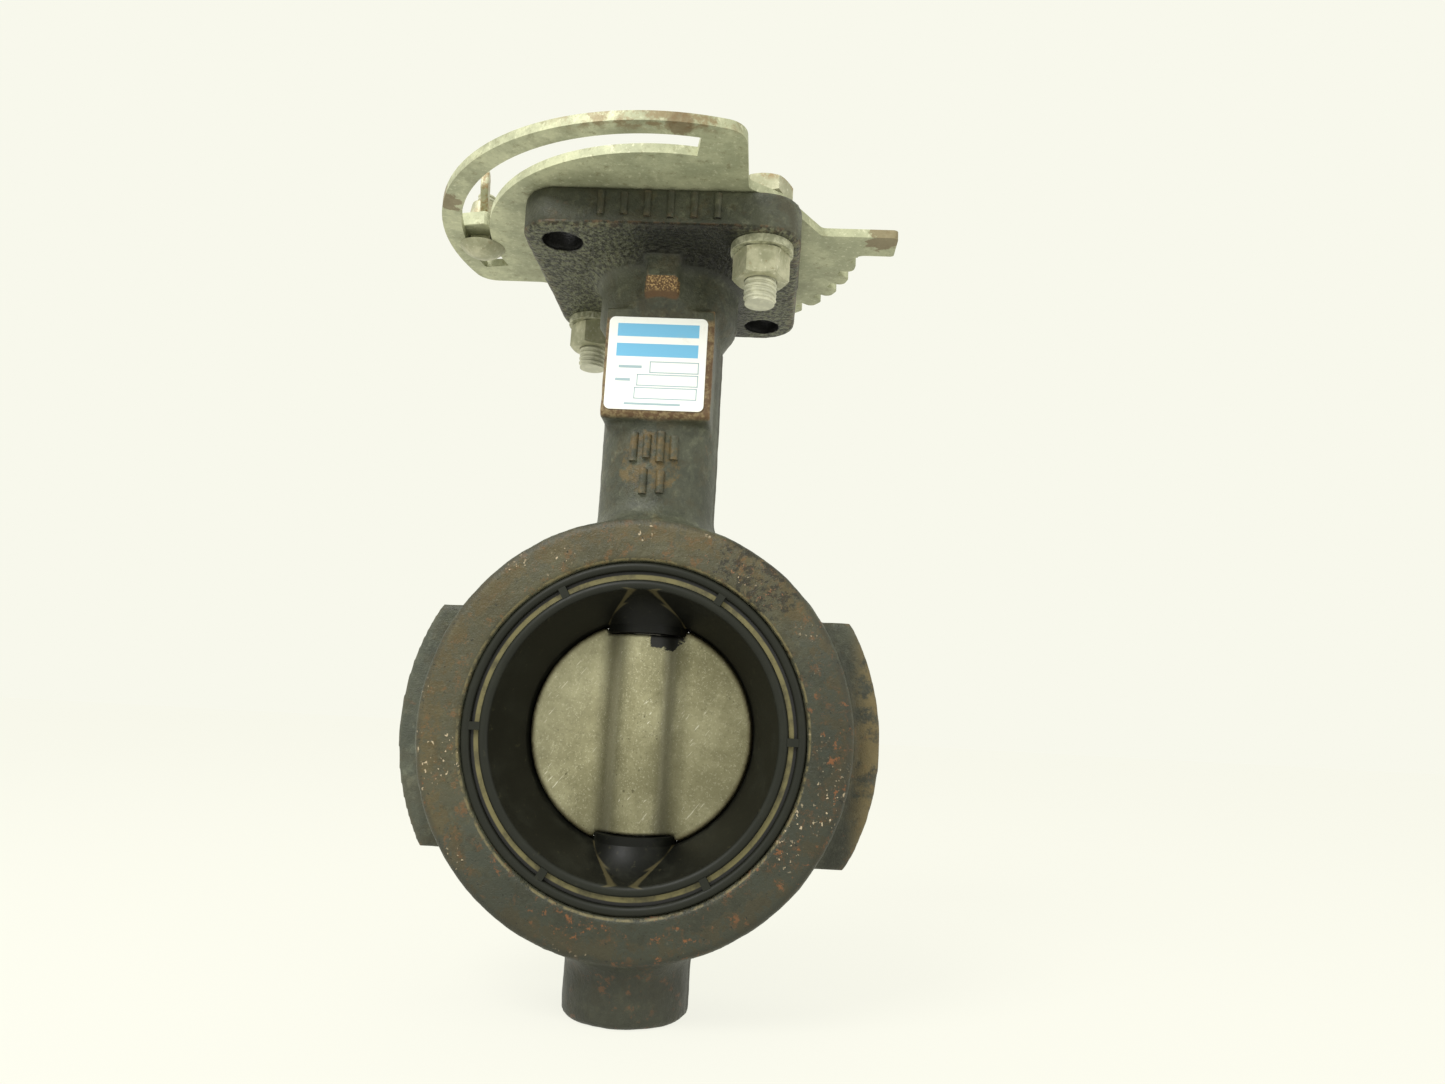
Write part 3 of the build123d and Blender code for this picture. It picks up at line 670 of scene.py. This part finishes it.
# %% Zinc-plated fasteners
def plated_zinc():
    material, tree, shader, place = start_material("dull zinc plating", 0.45, 0.3)
    cloud = patchy(tree, place, 5, 6, 0.65, 0.38, 0.66)
    colour = mixed(tree, cloud, "#9d9d80", "#bfbda0")
    brown = patchy(tree, place, 1.8, 6, 0.7, 0.57, 0.70)
    colour = tinted(tree, colour, "#857350", brown, 0.5)
    white = patchy(tree, place, 1.2, 5, 0.6, 0.58, 0.70)
    colour = tinted(tree, colour, "#e2e0c8", white, 0.5)
    parts = axes(tree, place)
    head_top = between(tree, parts["Z"], plate_high.z + 2.5 * MM, plate_high.z + 5 * MM)
    near = between(tree, parts["Y"], 0.0, -10 * MM)
    rust = weakened(tree, weakened(tree, head_top, near), patchy(tree, place, 3.4, 9, 0.76, 0.46, 0.56))
    colour = tinted(tree, colour, "#8e6a3c", rust, 0.65)
    painted(tree, shader, colour)
    bumped(tree, shader, grain(tree, place, 0.6, 3, 0.6), 0.3, 0.08)
    return material


def dark_zinc():
    """The thread and the lock washers are paler on their ridges and darker between them."""
    material, tree, shader, place = start_material("weathered zinc plating", 0.5, 0.3)
    cloud = patchy(tree, place, 2.2, 6, 0.65, 0.40, 0.64)
    colour = mixed(tree, cloud, "#85866c", "#bdbda0")
    rust = patchy(tree, place, 3.5, 6, 0.7, 0.60, 0.72)
    colour = tinted(tree, colour, "#7d6440", rust, 0.5)
    edge = add(tree, "ShaderNodeNewGeometry").outputs["Pointiness"]
    colour = tinted(tree, colour, "#d8d7c2", between(tree, edge, 0.52, 0.58), 0.6)
    colour = tinted(tree, colour, "#4a4837", between(tree, edge, 0.48, 0.42), 0.6)
    painted(tree, shader, colour)
    bumped(tree, shader, grain(tree, place, 0.6, 3, 0.6), 0.35, 0.08)
    return material


def rubbed_corner():
    material, tree, shader, place = start_material("zinc rubbed through to steel", 0.6, 0.1)
    patch = patchy(tree, place, 1.5, 5, 0.7, 0.36, 0.60)
    colour = mixed(tree, patch, "#7f6f52", "#523a20")
    painted(tree, shader, colour)
    return material


# %% [markdown]
# ## Steel, bronze and the label
#
# The stem is turned stainless steel, brushed round by the lathe, so its grain is stretched sideways.
# The bushings are sintered bronze and sit inside, seen only as thin rings. The label is a white enamelled
# plate whose print is a separate thin layer.

# %% Steel and bronze
def turned_steel():
    material, tree, shader, place = start_material("turned stainless steel", 0.32, 1.0)
    rings = add(tree, "ShaderNodeMapping", {"Vector": place, "Scale": (0.05, 0.05, 1.0)}).outputs["Vector"]
    lines = grain(tree, rings, 0.3, 3, 0.6)
    colour = mixed(tree, between(tree, lines, 0.3, 0.7), "#9b988c", "#bcb9ad")
    haze = patchy(tree, place, 5, 6, 0.65, 0.52, 0.70)
    colour = tinted(tree, colour, "#6f6a55", haze, 0.4)
    painted(tree, shader, colour)
    bumped(tree, shader, lines, 0.2, 0.03)
    return material


def sintered_bronze():
    material, tree, shader, place = start_material("sintered bronze", 0.5, 0.9)
    pores = patchy(tree, place, 0.5, 3, 0.6, 0.55, 0.7)
    colour = mixed(tree, pores, "#8c774c", "#4f4029")
    painted(tree, shader, colour)
    return material


# %% Label enamel and print
def enamel(name, base, dirt_colour):
    material, tree, shader, place = start_material(name, 0.3)
    dirt = patchy(tree, place, 6, 6, 0.7, 0.58, 0.78)
    colour = tinted(tree, base, dirt_colour, dirt, 0.35)
    painted(tree, shader, colour)
    shader.inputs["Coat Weight"].default_value = 0.3
    return material


IRON = cast_iron("sand-cast ductile iron", 0.75)
MARK_IRON = cast_iron("sand-cast ductile iron, marks", 0.15)
RUBBER = moulded_rubber()
RESIN = khaki_resin()
DISC_METAL = disc_metal()
SHEET_ZINC = galvanised_sheet()
CUT_EDGE = cut_edge()
PLATED_ZINC = plated_zinc()
DARK_ZINC = dark_zinc()
RUBBED = rubbed_corner()
STEEL = turned_steel()
BRONZE = sintered_bronze()
LABEL_WHITE = enamel("white label enamel", "#f1f2ee", "#cfc9b4")
LABEL_BLUE = enamel("sky blue print", "#6db6dd", "#8fb4c4")
LABEL_GREY = enamel("grey print", "#9db4bb", "#a9b0a8")
print("materials:", len(bpy.data.materials))

# %% [markdown]
# ## Finishes for the pieces that stay as designed
#
# The seals, the bushings, the seat and its backing ring already have their true shape, so they only take
# a finish. The material goes into the slot that the piece already has.

# %% Finish the CAD pieces
FINISHES = {
    "seat_liner": RUBBER, "disc_seal_upper": RUBBER, "disc_seal_lower": RUBBER, "stem_seal": RUBBER,
    "body_seal": RUBBER, "seat_backing_ring": RESIN, "upper_bushing": BRONZE, "lower_bushing": BRONZE,
    "collar_bushing": BRONZE, "lower_stem": STEEL, "upper_stem": STEEL,
}
for node_name, finish in FINISHES.items():
    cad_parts[node_name].material_slots[0].material = finish

# %% [markdown]
# ## The cast body
#
# A casting has no crisp corners and no perfectly flat skin. A voxel remesh turns the designed body into
# one even net of small quads, a few rounds of smoothing ease every corner by about a millimetre, and
# noise then moves each point a little along its normal. The mould's two halves met in the plane of
# the stem, so a low ridge is raised there too. The remesh is used because a bevel can't follow the many
# curved edges where the ring, the neck and the ribs grow together.

# %% Even skin and rough skin
def even_skin(node_name, new_name, voxel, rounds):
    """A copy of a CAD node as one evenly meshed skin with eased corners."""
    piece = free_copy(node_name, new_name)
    skin = piece.modifiers.new("skin", "REMESH")
    skin.mode = "VOXEL"
    skin.voxel_size = voxel * MM
    soften = piece.modifiers.new("soften", "SMOOTH")
    soften.factor = 0.5
    soften.iterations = rounds
    return bake_modifiers(piece)


def roughen(piece, layers):
    """Moves each point along its normal by noise; a layer is a size and a depth in millimetres."""
    vertices = piece.data.vertices
    normals = [vertex.normal.copy() for vertex in vertices]
    for vertex, normal in zip(vertices, normals):
        depth = sum(height * noise.noise(vertex.co / (size * MM)) for size, height in layers)
        vertex.co += normal * depth * MM


def raise_parting_line(piece, height, half_width):
    """The low ridge where the two halves of the mould met, on outward faces only."""
    vertices = piece.data.vertices
    normals = [vertex.normal.copy() for vertex in vertices]
    for vertex, normal in zip(vertices, normals):
        off = abs(vertex.co.y) / MM
        outward = normal.x * vertex.co.x + normal.z * vertex.co.z
        outside = math.hypot(vertex.co.x, vertex.co.z) > 55 * MM or abs(vertex.co.x) > 15 * MM
        if off < half_width and abs(normal.y) < 0.5 and outward > 0 and outside:
            vertex.co += normal * height * (1 - off / half_width) * MM


def finish_piece(piece, materials, body, node_name=None):
    """Puts materials in the piece's slots, ties the piece to its body and hides the CAD node it replaces."""
    piece.data.materials.clear()
    for material in materials:
        piece.data.materials.append(material)
    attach(piece, body)
    if node_name:
        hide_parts(node_name)


# %% The casting
casting = even_skin("body", "body_casting", 1.0, 2)
raise_parting_line(casting, 0.55, 1.3)
roughen(casting, [(7.0, 0.12), (2.6, 0.09)])
for vertex in casting.data.vertices:
    vertex.co.z = max(vertex.co.z, body_low.z)
shade(casting)
finish_piece(casting, [IRON], "valve_body", "body")
print("casting:", len(casting.data.polygons), "quads")

# %% [markdown]
# ## The disc
#
# The disc is cast too, but finer, so it gets the same treatment with a voxel of half a millimetre. A
# shut disc is squeezed into its rubber seat, so its rim is pushed out again until it just meets the seat
# and no light passes round it.

# %% The disc
def widen_rim(piece, start, end, reach):
    """Stretches the part of a disc outside a radius, so that its edge moves from end to reach."""
    for vertex in piece.data.vertices:
        away = math.hypot(vertex.co.x, vertex.co.z) / MM
        if away > start:
            share = min((away - start) / (end - start), 1.0)
            grow = 1 + share * (reach - end) / away
            vertex.co.x *= grow
            vertex.co.z *= grow


def close_on_seats(piece, bore, seat):
    """Draws the two round cuts at the hub's ends in towards the rubber seats that they turn about."""
    for vertex in piece.data.vertices:
        away = math.hypot(vertex.co.x, vertex.co.y) / MM
        if abs(vertex.co.z) > 28 * MM and away < bore + 0.8:
            vertex.co.x *= seat / bore
            vertex.co.y *= seat / bore


disc_casting = even_skin("disc", "disc_casting", 0.5, 1)
rim_radius = max(math.hypot(vertex.co.x, vertex.co.z) for vertex in disc_casting.data.vertices) / MM
widen_rim(disc_casting, start=29.0, end=rim_radius - 0.1, reach=32.75)
close_on_seats(disc_casting, bore=12.35, seat=12.06)
roughen(disc_casting, [(5.0, 0.06), (1.6, 0.03)])
shade(disc_casting)
finish_piece(disc_casting, [DISC_METAL], "disc_and_stem", "disc")
print("disc:", len(disc_casting.data.polygons), "quads")

# %% [markdown]
# ## Pressed and turned pieces
#
# Sheet, hexagons, washers and the stem keep flat faces and clear edges, so these are bevelled copies. The
# bevel gets a material of its own: the white cut edge of the sheet, and the rubbed brown corners of the
# nuts. Flat faces are joined into single ones first, or the bevel would stop at every triangle.

# %% Bevelled copies
def eased_copy(node_name, new_name, width, segments=2, corner=35):
    """A copy of a CAD node with its sharp edges bevelled; the bevel's faces take the second material."""
    piece = free_copy(node_name, new_name)
    return ease(piece, width, segments, corner)


def ease(piece, width, segments=2, corner=35):
    work = bmesh.new()
    work.from_mesh(piece.data)
    bmesh.ops.dissolve_limit(work, angle_limit=math.radians(1), verts=work.verts, edges=work.edges)
    work.to_mesh(piece.data)
    work.free()
    while len(piece.data.materials) < 2:
        piece.data.materials.append(PLATED_ZINC)
    piece.data.shade_smooth()
    bevel = piece.modifiers.new("ease", "BEVEL")
    bevel.limit_method = "ANGLE"
    bevel.angle_limit = math.radians(corner)
    bevel.width = width * MM
    bevel.segments = segments
    bevel.material = 1
    bevel.harden_normals = True
    return bake_modifiers(piece)


plate = eased_copy("notch_plate", "notch_plate_pressed", 0.3)
finish_piece(plate, [SHEET_ZINC, CUT_EDGE], "valve_body", "notch_plate")
for end in ("front", "rear"):
    nut = eased_copy(f"plate_nut_{end}", f"plate_nut_{end}_worn", 0.45)
    finish_piece(nut, [PLATED_ZINC, RUBBED], "valve_body", f"plate_nut_{end}")
    washer = eased_copy(f"lock_washer_{end}", f"lock_washer_{end}_worn", 0.6, 3)
    finish_piece(washer, [DARK_ZINC, DARK_ZINC], "valve_body", f"lock_washer_{end}")
block = eased_copy("stop_block", "stop_block_worn", 0.4)
finish_piece(block, [SHEET_ZINC, CUT_EDGE], "memory_stop", "stop_block")
label = eased_copy("nameplate", "nameplate_enamelled", 0.12)
finish_piece(label, [LABEL_WHITE, LABEL_WHITE], "valve_body", "nameplate")
print("plate:", len(plate.data.polygons), "faces")

# %% [markdown]
# ## Bolts and their threads
#
# A thread is one ridge that winds round a core, so it is a job for Geometry Nodes: a spiral curve
# with a small round section, joined to a plain core that sticks out as a smooth tip. The same tree makes the
# 3/8 inch plate bolts and the 1/4 inch stop bolt from different sizes. The heads are cut from the CAD
# bolts, because they already have their true shape, and are bevelled like the nuts.

# %% A tree for screw threads
def new_tree(name, sizes):
    """A Geometry Nodes tree with named inputs and one mesh output."""
    tree = bpy.data.node_groups.new(name, "GeometryNodeTree")
    for label_text, kind in sizes.items():
        tree.interface.new_socket(label_text, in_out="INPUT", socket_type=kind)
    tree.interface.new_socket("Mesh", in_out="OUTPUT", socket_type="NodeSocketGeometry")
    given = tree.nodes.new("NodeGroupInput").outputs
    return tree, given


def end_tree(tree, mesh, material):
    solid = add(tree, "GeometryNodeRealizeInstances", {"Geometry": mesh}).outputs["Geometry"]
    coloured = add(tree, "GeometryNodeSetMaterial", {"Geometry": solid, "Material": material})
    add(tree, "NodeGroupOutput", {"Mesh": coloured.outputs["Geometry"]})


def grown(name, tree, values):
    """The plain mesh that a tree makes with these input values."""
    piece = new_piece(name, bpy.data.meshes.new(name))
    modifier = piece.modifiers.new("grow", "NODES")
    modifier.node_group = tree
    for item in tree.interface.items_tree:
        if item.in_out == "INPUT" and item.name in values:
            modifier[item.identifier] = values[item.name]
    return bake_modifiers(piece)


def moved_by(tree, geometry, step):
    made = add(tree, "GeometryNodeTransform", {"Geometry": geometry, "Translation": step})
    return made.outputs["Geometry"]


def along_z(tree, value):
    """A vector with a value in Z alone: a step up, or a turn about Z."""
    return add(tree, "ShaderNodeCombineXYZ", {"Z": value}).outputs["Vector"]


def round_section(tree, sides, size):
    made = add(tree, "GeometryNodeCurvePrimitiveCircle", {"Resolution": sides, "Radius": size})
    return made.outputs["Curve"]


def thread_tree():
    tree, given = new_tree("screw thread", {
        "Pitch": "NodeSocketFloat", "Core Radius": "NodeSocketFloat", "Ridge Radius": "NodeSocketFloat",
        "Length": "NodeSocketFloat", "Tip": "NodeSocketFloat", "Place": "NodeSocketVector",
        "Material": "NodeSocketMaterial",
    })
    threaded = combined(tree, "SUBTRACT", given["Length"], given["Tip"])
    middle = given["Core Radius"]
    spiral = add(tree, "GeometryNodeCurveSpiral", {
        "Resolution": 40, "Rotations": combined(tree, "DIVIDE", threaded, given["Pitch"]),
        "Start Radius": middle, "End Radius": middle, "Height": threaded,
    }).outputs["Curve"]
    ridge = add(tree, "GeometryNodeCurveToMesh", {
        "Curve": spiral, "Profile Curve": round_section(tree, 8, given["Ridge Radius"]), "Fill Caps": True,
    }).outputs["Mesh"]
    ridge = moved_by(tree, ridge, along_z(tree, given["Tip"]))
    core = add(tree, "GeometryNodeMeshCylinder", {
        "Vertices": 48, "Radius": combined(tree, "MULTIPLY", middle, 1.04), "Depth": given["Length"],
    }).outputs["Mesh"]
    core = moved_by(tree, core, along_z(tree, combined(tree, "MULTIPLY", given["Length"], 0.5)))
    both = add(tree, "GeometryNodeJoinGeometry")
    tree.links.new(core, both.inputs["Geometry"])
    tree.links.new(ridge, both.inputs["Geometry"])
    end_tree(tree, moved_by(tree, both.outputs["Geometry"], given["Place"]), given["Material"])
    return tree


THREAD = thread_tree()


# %% Bolt heads and their threads
def cut_copy(node_name, new_name, height, keep_above):
    """A copy of a CAD node with all that lies above or below a height cut away and closed."""
    piece = free_copy(node_name, new_name)
    work = bmesh.new()
    work.from_mesh(piece.data)
    everything = work.verts[:] + work.edges[:] + work.faces[:]
    cut = bmesh.ops.bisect_plane(
        work, geom=everything, plane_co=(0, 0, height), plane_no=(0, 0, 1),
        clear_inner=keep_above, clear_outer=not keep_above,
    )
    rim = [part for part in cut["geom_cut"] if isinstance(part, bmesh.types.BMEdge)]
    bmesh.ops.holes_fill(work, edges=rim)
    work.to_mesh(piece.data)
    work.free()
    return piece


def thread_on(name, centre, low, high, pitch, bolt_radius, tip=0.0):
    """A threaded rod of a bolt's radius, from one height to another, with a plain tip below."""
    ridge = 0.4 * pitch
    values = {
        "Pitch": pitch, "Core Radius": bolt_radius - ridge, "Ridge Radius": ridge, "Length": high - low,
        "Tip": tip, "Place": (centre.x, centre.y, low), "Material": DARK_ZINC,
    }
    piece = grown(name, THREAD, values)
    shade(piece, 50)
    return piece


COARSE_PITCH = 1.5875 * MM
FINE_PITCH = 1.27 * MM
for end in ("front", "rear"):
    low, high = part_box(f"plate_bolt_{end}")
    head = ease(cut_copy(f"plate_bolt_{end}", f"plate_bolt_{end}_head", plate_low.z, True), 0.35)
    finish_piece(head, [PLATED_ZINC, RUBBED], "valve_body", f"plate_bolt_{end}")
    centre = (low + high) / 2
    thread = thread_on(f"plate_bolt_{end}_thread", centre, low.z, plate_low.z, COARSE_PITCH, 4.76 * MM, MM)
    finish_piece(thread, [DARK_ZINC], "valve_body")
thread_start = plate_high.z + 4 * MM
stop_head = ease(cut_copy("stop_bolt", "stop_bolt_head", thread_start, False), 0.25, corner=45)
finish_piece(stop_head, [PLATED_ZINC, PLATED_ZINC], "memory_stop", "stop_bolt")
stop_thread = thread_on("stop_bolt_thread", stop_centre, thread_start, stop_high.z, FINE_PITCH, 3.1 * MM)
finish_piece(stop_thread, [DARK_ZINC], "memory_stop")
print("thread:", len(stop_thread.data.polygons), "faces")

# %% [markdown]
# ## The wing nut
#
# A wing nut is a small hot-pressed piece with no sharp edge anywhere, so it is remeshed finely and
# smoothed. The remesh closes nothing, because its threaded hole is much wider than a voxel.

# %% The wing nut
wings = even_skin("wing_nut", "wing_nut_pressed", 0.3, 4)
roughen(wings, [(2.0, 0.05)])
shade(wings)
finish_piece(wings, [PLATED_ZINC], "stop_wing_nut", "wing_nut")
print("wing nut:", len(wings.data.polygons), "quads")

# %% [markdown]
# ## Marks raised on the casting
#
# Castings carry raised figures for size and pattern. Here plain upright strokes stand for them: one tree
# sets strokes out along a line that may bend round a radius, so the same tree wraps them round the neck
# and lays them straight along the flange's edge. Each stroke is a short line with a round section
# that swells from its ends, half sunk in the surface.

# %% A tree for raised strokes
def stroke_tree():
    tree, given = new_tree("raised strokes", {
        "Count": "NodeSocketInt", "Pitch": "NodeSocketFloat", "Bend Radius": "NodeSocketFloat",
        "Front": "NodeSocketFloat", "Height": "NodeSocketFloat", "Stroke Length": "NodeSocketFloat",
        "Stroke Radius": "NodeSocketFloat", "Seed": "NodeSocketInt", "Material": "NodeSocketMaterial",
    })
    points = add(tree, "GeometryNodeMeshLine", {"Count": given["Count"]}).outputs["Mesh"]
    index = add(tree, "GeometryNodeInputIndex").outputs["Index"]
    last = combined(tree, "SUBTRACT", given["Count"], 1.0)
    step = combined(tree, "SUBTRACT", index, combined(tree, "MULTIPLY", last, 0.5))
    angle = combined(tree, "DIVIDE", combined(tree, "MULTIPLY", step, given["Pitch"]), given["Bend Radius"])
    across = combined(tree, "MULTIPLY", combined(tree, "SINE", angle), given["Bend Radius"])
    back = combined(tree, "SUBTRACT", 1.0, combined(tree, "COSINE", angle))
    depth = combined(tree, "ADD", combined(tree, "MULTIPLY", back, given["Bend Radius"]), given["Front"])
    spot = add(tree, "ShaderNodeCombineXYZ", {"X": across, "Y": depth, "Z": given["Height"]})
    points = add(tree, "GeometryNodeSetPosition", {"Geometry": points, "Position": spot.outputs["Vector"]})
    stroke = stroke_shape(tree, given)
    varied = add(tree, "FunctionNodeRandomValue", {"Seed": given["Seed"]}, data_type="FLOAT")
    varied.inputs[2].default_value = 0.7
    varied.inputs[3].default_value = 1.0
    size = add(tree, "ShaderNodeCombineXYZ", {"X": 1.0, "Y": 1.0, "Z": varied.outputs[1]}).outputs["Vector"]
    row = add(tree, "GeometryNodeInstanceOnPoints", {
        "Points": points.outputs["Geometry"], "Instance": stroke, "Rotation": along_z(tree, angle),
        "Scale": size,
    }).outputs["Instances"]
    end_tree(tree, row, given["Material"])
    return tree


def stroke_shape(tree, given):
    """One upright stroke that swells from its ends."""
    half = combined(tree, "MULTIPLY", given["Stroke Length"], 0.5)
    low = along_z(tree, combined(tree, "MULTIPLY", half, -1.0))
    high = along_z(tree, half)
    line = add(tree, "GeometryNodeCurvePrimitiveLine", {"Start": low, "End": high}).outputs["Curve"]
    line = add(tree, "GeometryNodeResampleCurve", {"Curve": line, "Count": 9}).outputs["Curve"]
    along = add(tree, "GeometryNodeSplineParameter").outputs["Factor"]
    end_to_end = combined(tree, "SUBTRACT", combined(tree, "MULTIPLY", along, 2.0), 1.0)
    off_middle = combined(tree, "ABSOLUTE", end_to_end)
    fall = combined(tree, "SUBTRACT", 1.05, combined(tree, "POWER", off_middle, 6.0))
    line = add(tree, "GeometryNodeSetCurveRadius", {"Curve": line, "Radius": combined(tree, "SQRT", fall)})
    return add(tree, "GeometryNodeCurveToMesh", {
        "Curve": line.outputs["Curve"], "Profile Curve": round_section(tree, 10, given["Stroke Radius"]),
        "Fill Caps": True,
    }).outputs["Mesh"]


# %% Raise the strokes
STROKES = stroke_tree()
MARKS = {
    "neck_marks_upper": {
        "Count": 4, "Pitch": 4.0 * MM, "Bend Radius": NECK_R, "Front": -NECK_R, "Height": 82.5 * MM,
        "Stroke Length": 9.5 * MM, "Stroke Radius": 1.3 * MM, "Seed": 4,
    },
    "neck_marks_lower": {
        "Count": 2, "Pitch": 5.0 * MM, "Bend Radius": NECK_R, "Front": -NECK_R, "Height": 72 * MM,
        "Stroke Length": 8 * MM, "Stroke Radius": 1.25 * MM, "Seed": 7,
    },
    "flange_marks": {
        "Count": 6, "Pitch": 6.6 * MM, "Bend Radius": 10.0, "Front": FLANGE_FRONT, "Height": 146.3 * MM,
        "Stroke Length": 8 * MM, "Stroke Radius": 1.1 * MM, "Seed": 11,
    },
}
for mark_name, sizes in MARKS.items():
    marks = grown(mark_name, STROKES, {**sizes, "Material": MARK_IRON})
    shade(marks)
    finish_piece(marks, [MARK_IRON], "valve_body")
    print(mark_name, len(marks.data.polygons), "faces")

# %% [markdown]
# ## The label's print
#
# The print is a layer of enamel on the plate: two plain blue bars, and three outlined fields with short
# grey bars where wording would be. It is modelled as thin plates, a twentieth of a millimetre thick, so it
# is there in the mesh as well. Every rectangle is given by its centre and size on the label.

# %% Print the label
def printed(name, rectangles, material):
    """Thin raised rectangles on the label, each given as centre x, centre z, width and height in mm."""
    work = bmesh.new()
    for x, z, width, height in rectangles:
        made = bmesh.ops.create_cube(work, size=1.0)["verts"]
        bmesh.ops.scale(work, vec=(width * MM, 0.1 * MM, height * MM), verts=made)
        spot = (label_centre.x + x * MM, label_low.y, label_centre.z + z * MM)
        bmesh.ops.translate(work, vec=spot, verts=made)
    mesh = bpy.data.meshes.new(name)
    work.to_mesh(mesh)
    work.free()
    piece = new_piece(name, mesh)
    finish_piece(piece, [material], "valve_body")


def field(x, z, width, height, line=0.28):
    """The four thin sides of an outlined field."""
    sides = [(x, z + sign * height / 2, width + line, line) for sign in (-1, 1)]
    return sides + [(x + sign * width / 2, z, line, height) for sign in (-1, 1)]


FIELDS = field(5.4, -1.2, 14.2, 3.3) + field(3.6, -5.2, 17.8, 3.3) + field(3.2, -9.2, 18.2, 3.3)
SHORT_BARS = [(-7.6, -1.2, 6.8, 0.8), (-9.6, -5.2, 4.4, 0.8), (-0.5, -12.5, 16.5, 0.6)]
printed("label_blue_bars", [(0.1, 10.2, 24.2, 4.0), (0.1, 4.0, 24.2, 4.0)], LABEL_BLUE)
printed("label_fields", FIELDS + SHORT_BARS, LABEL_GREY)
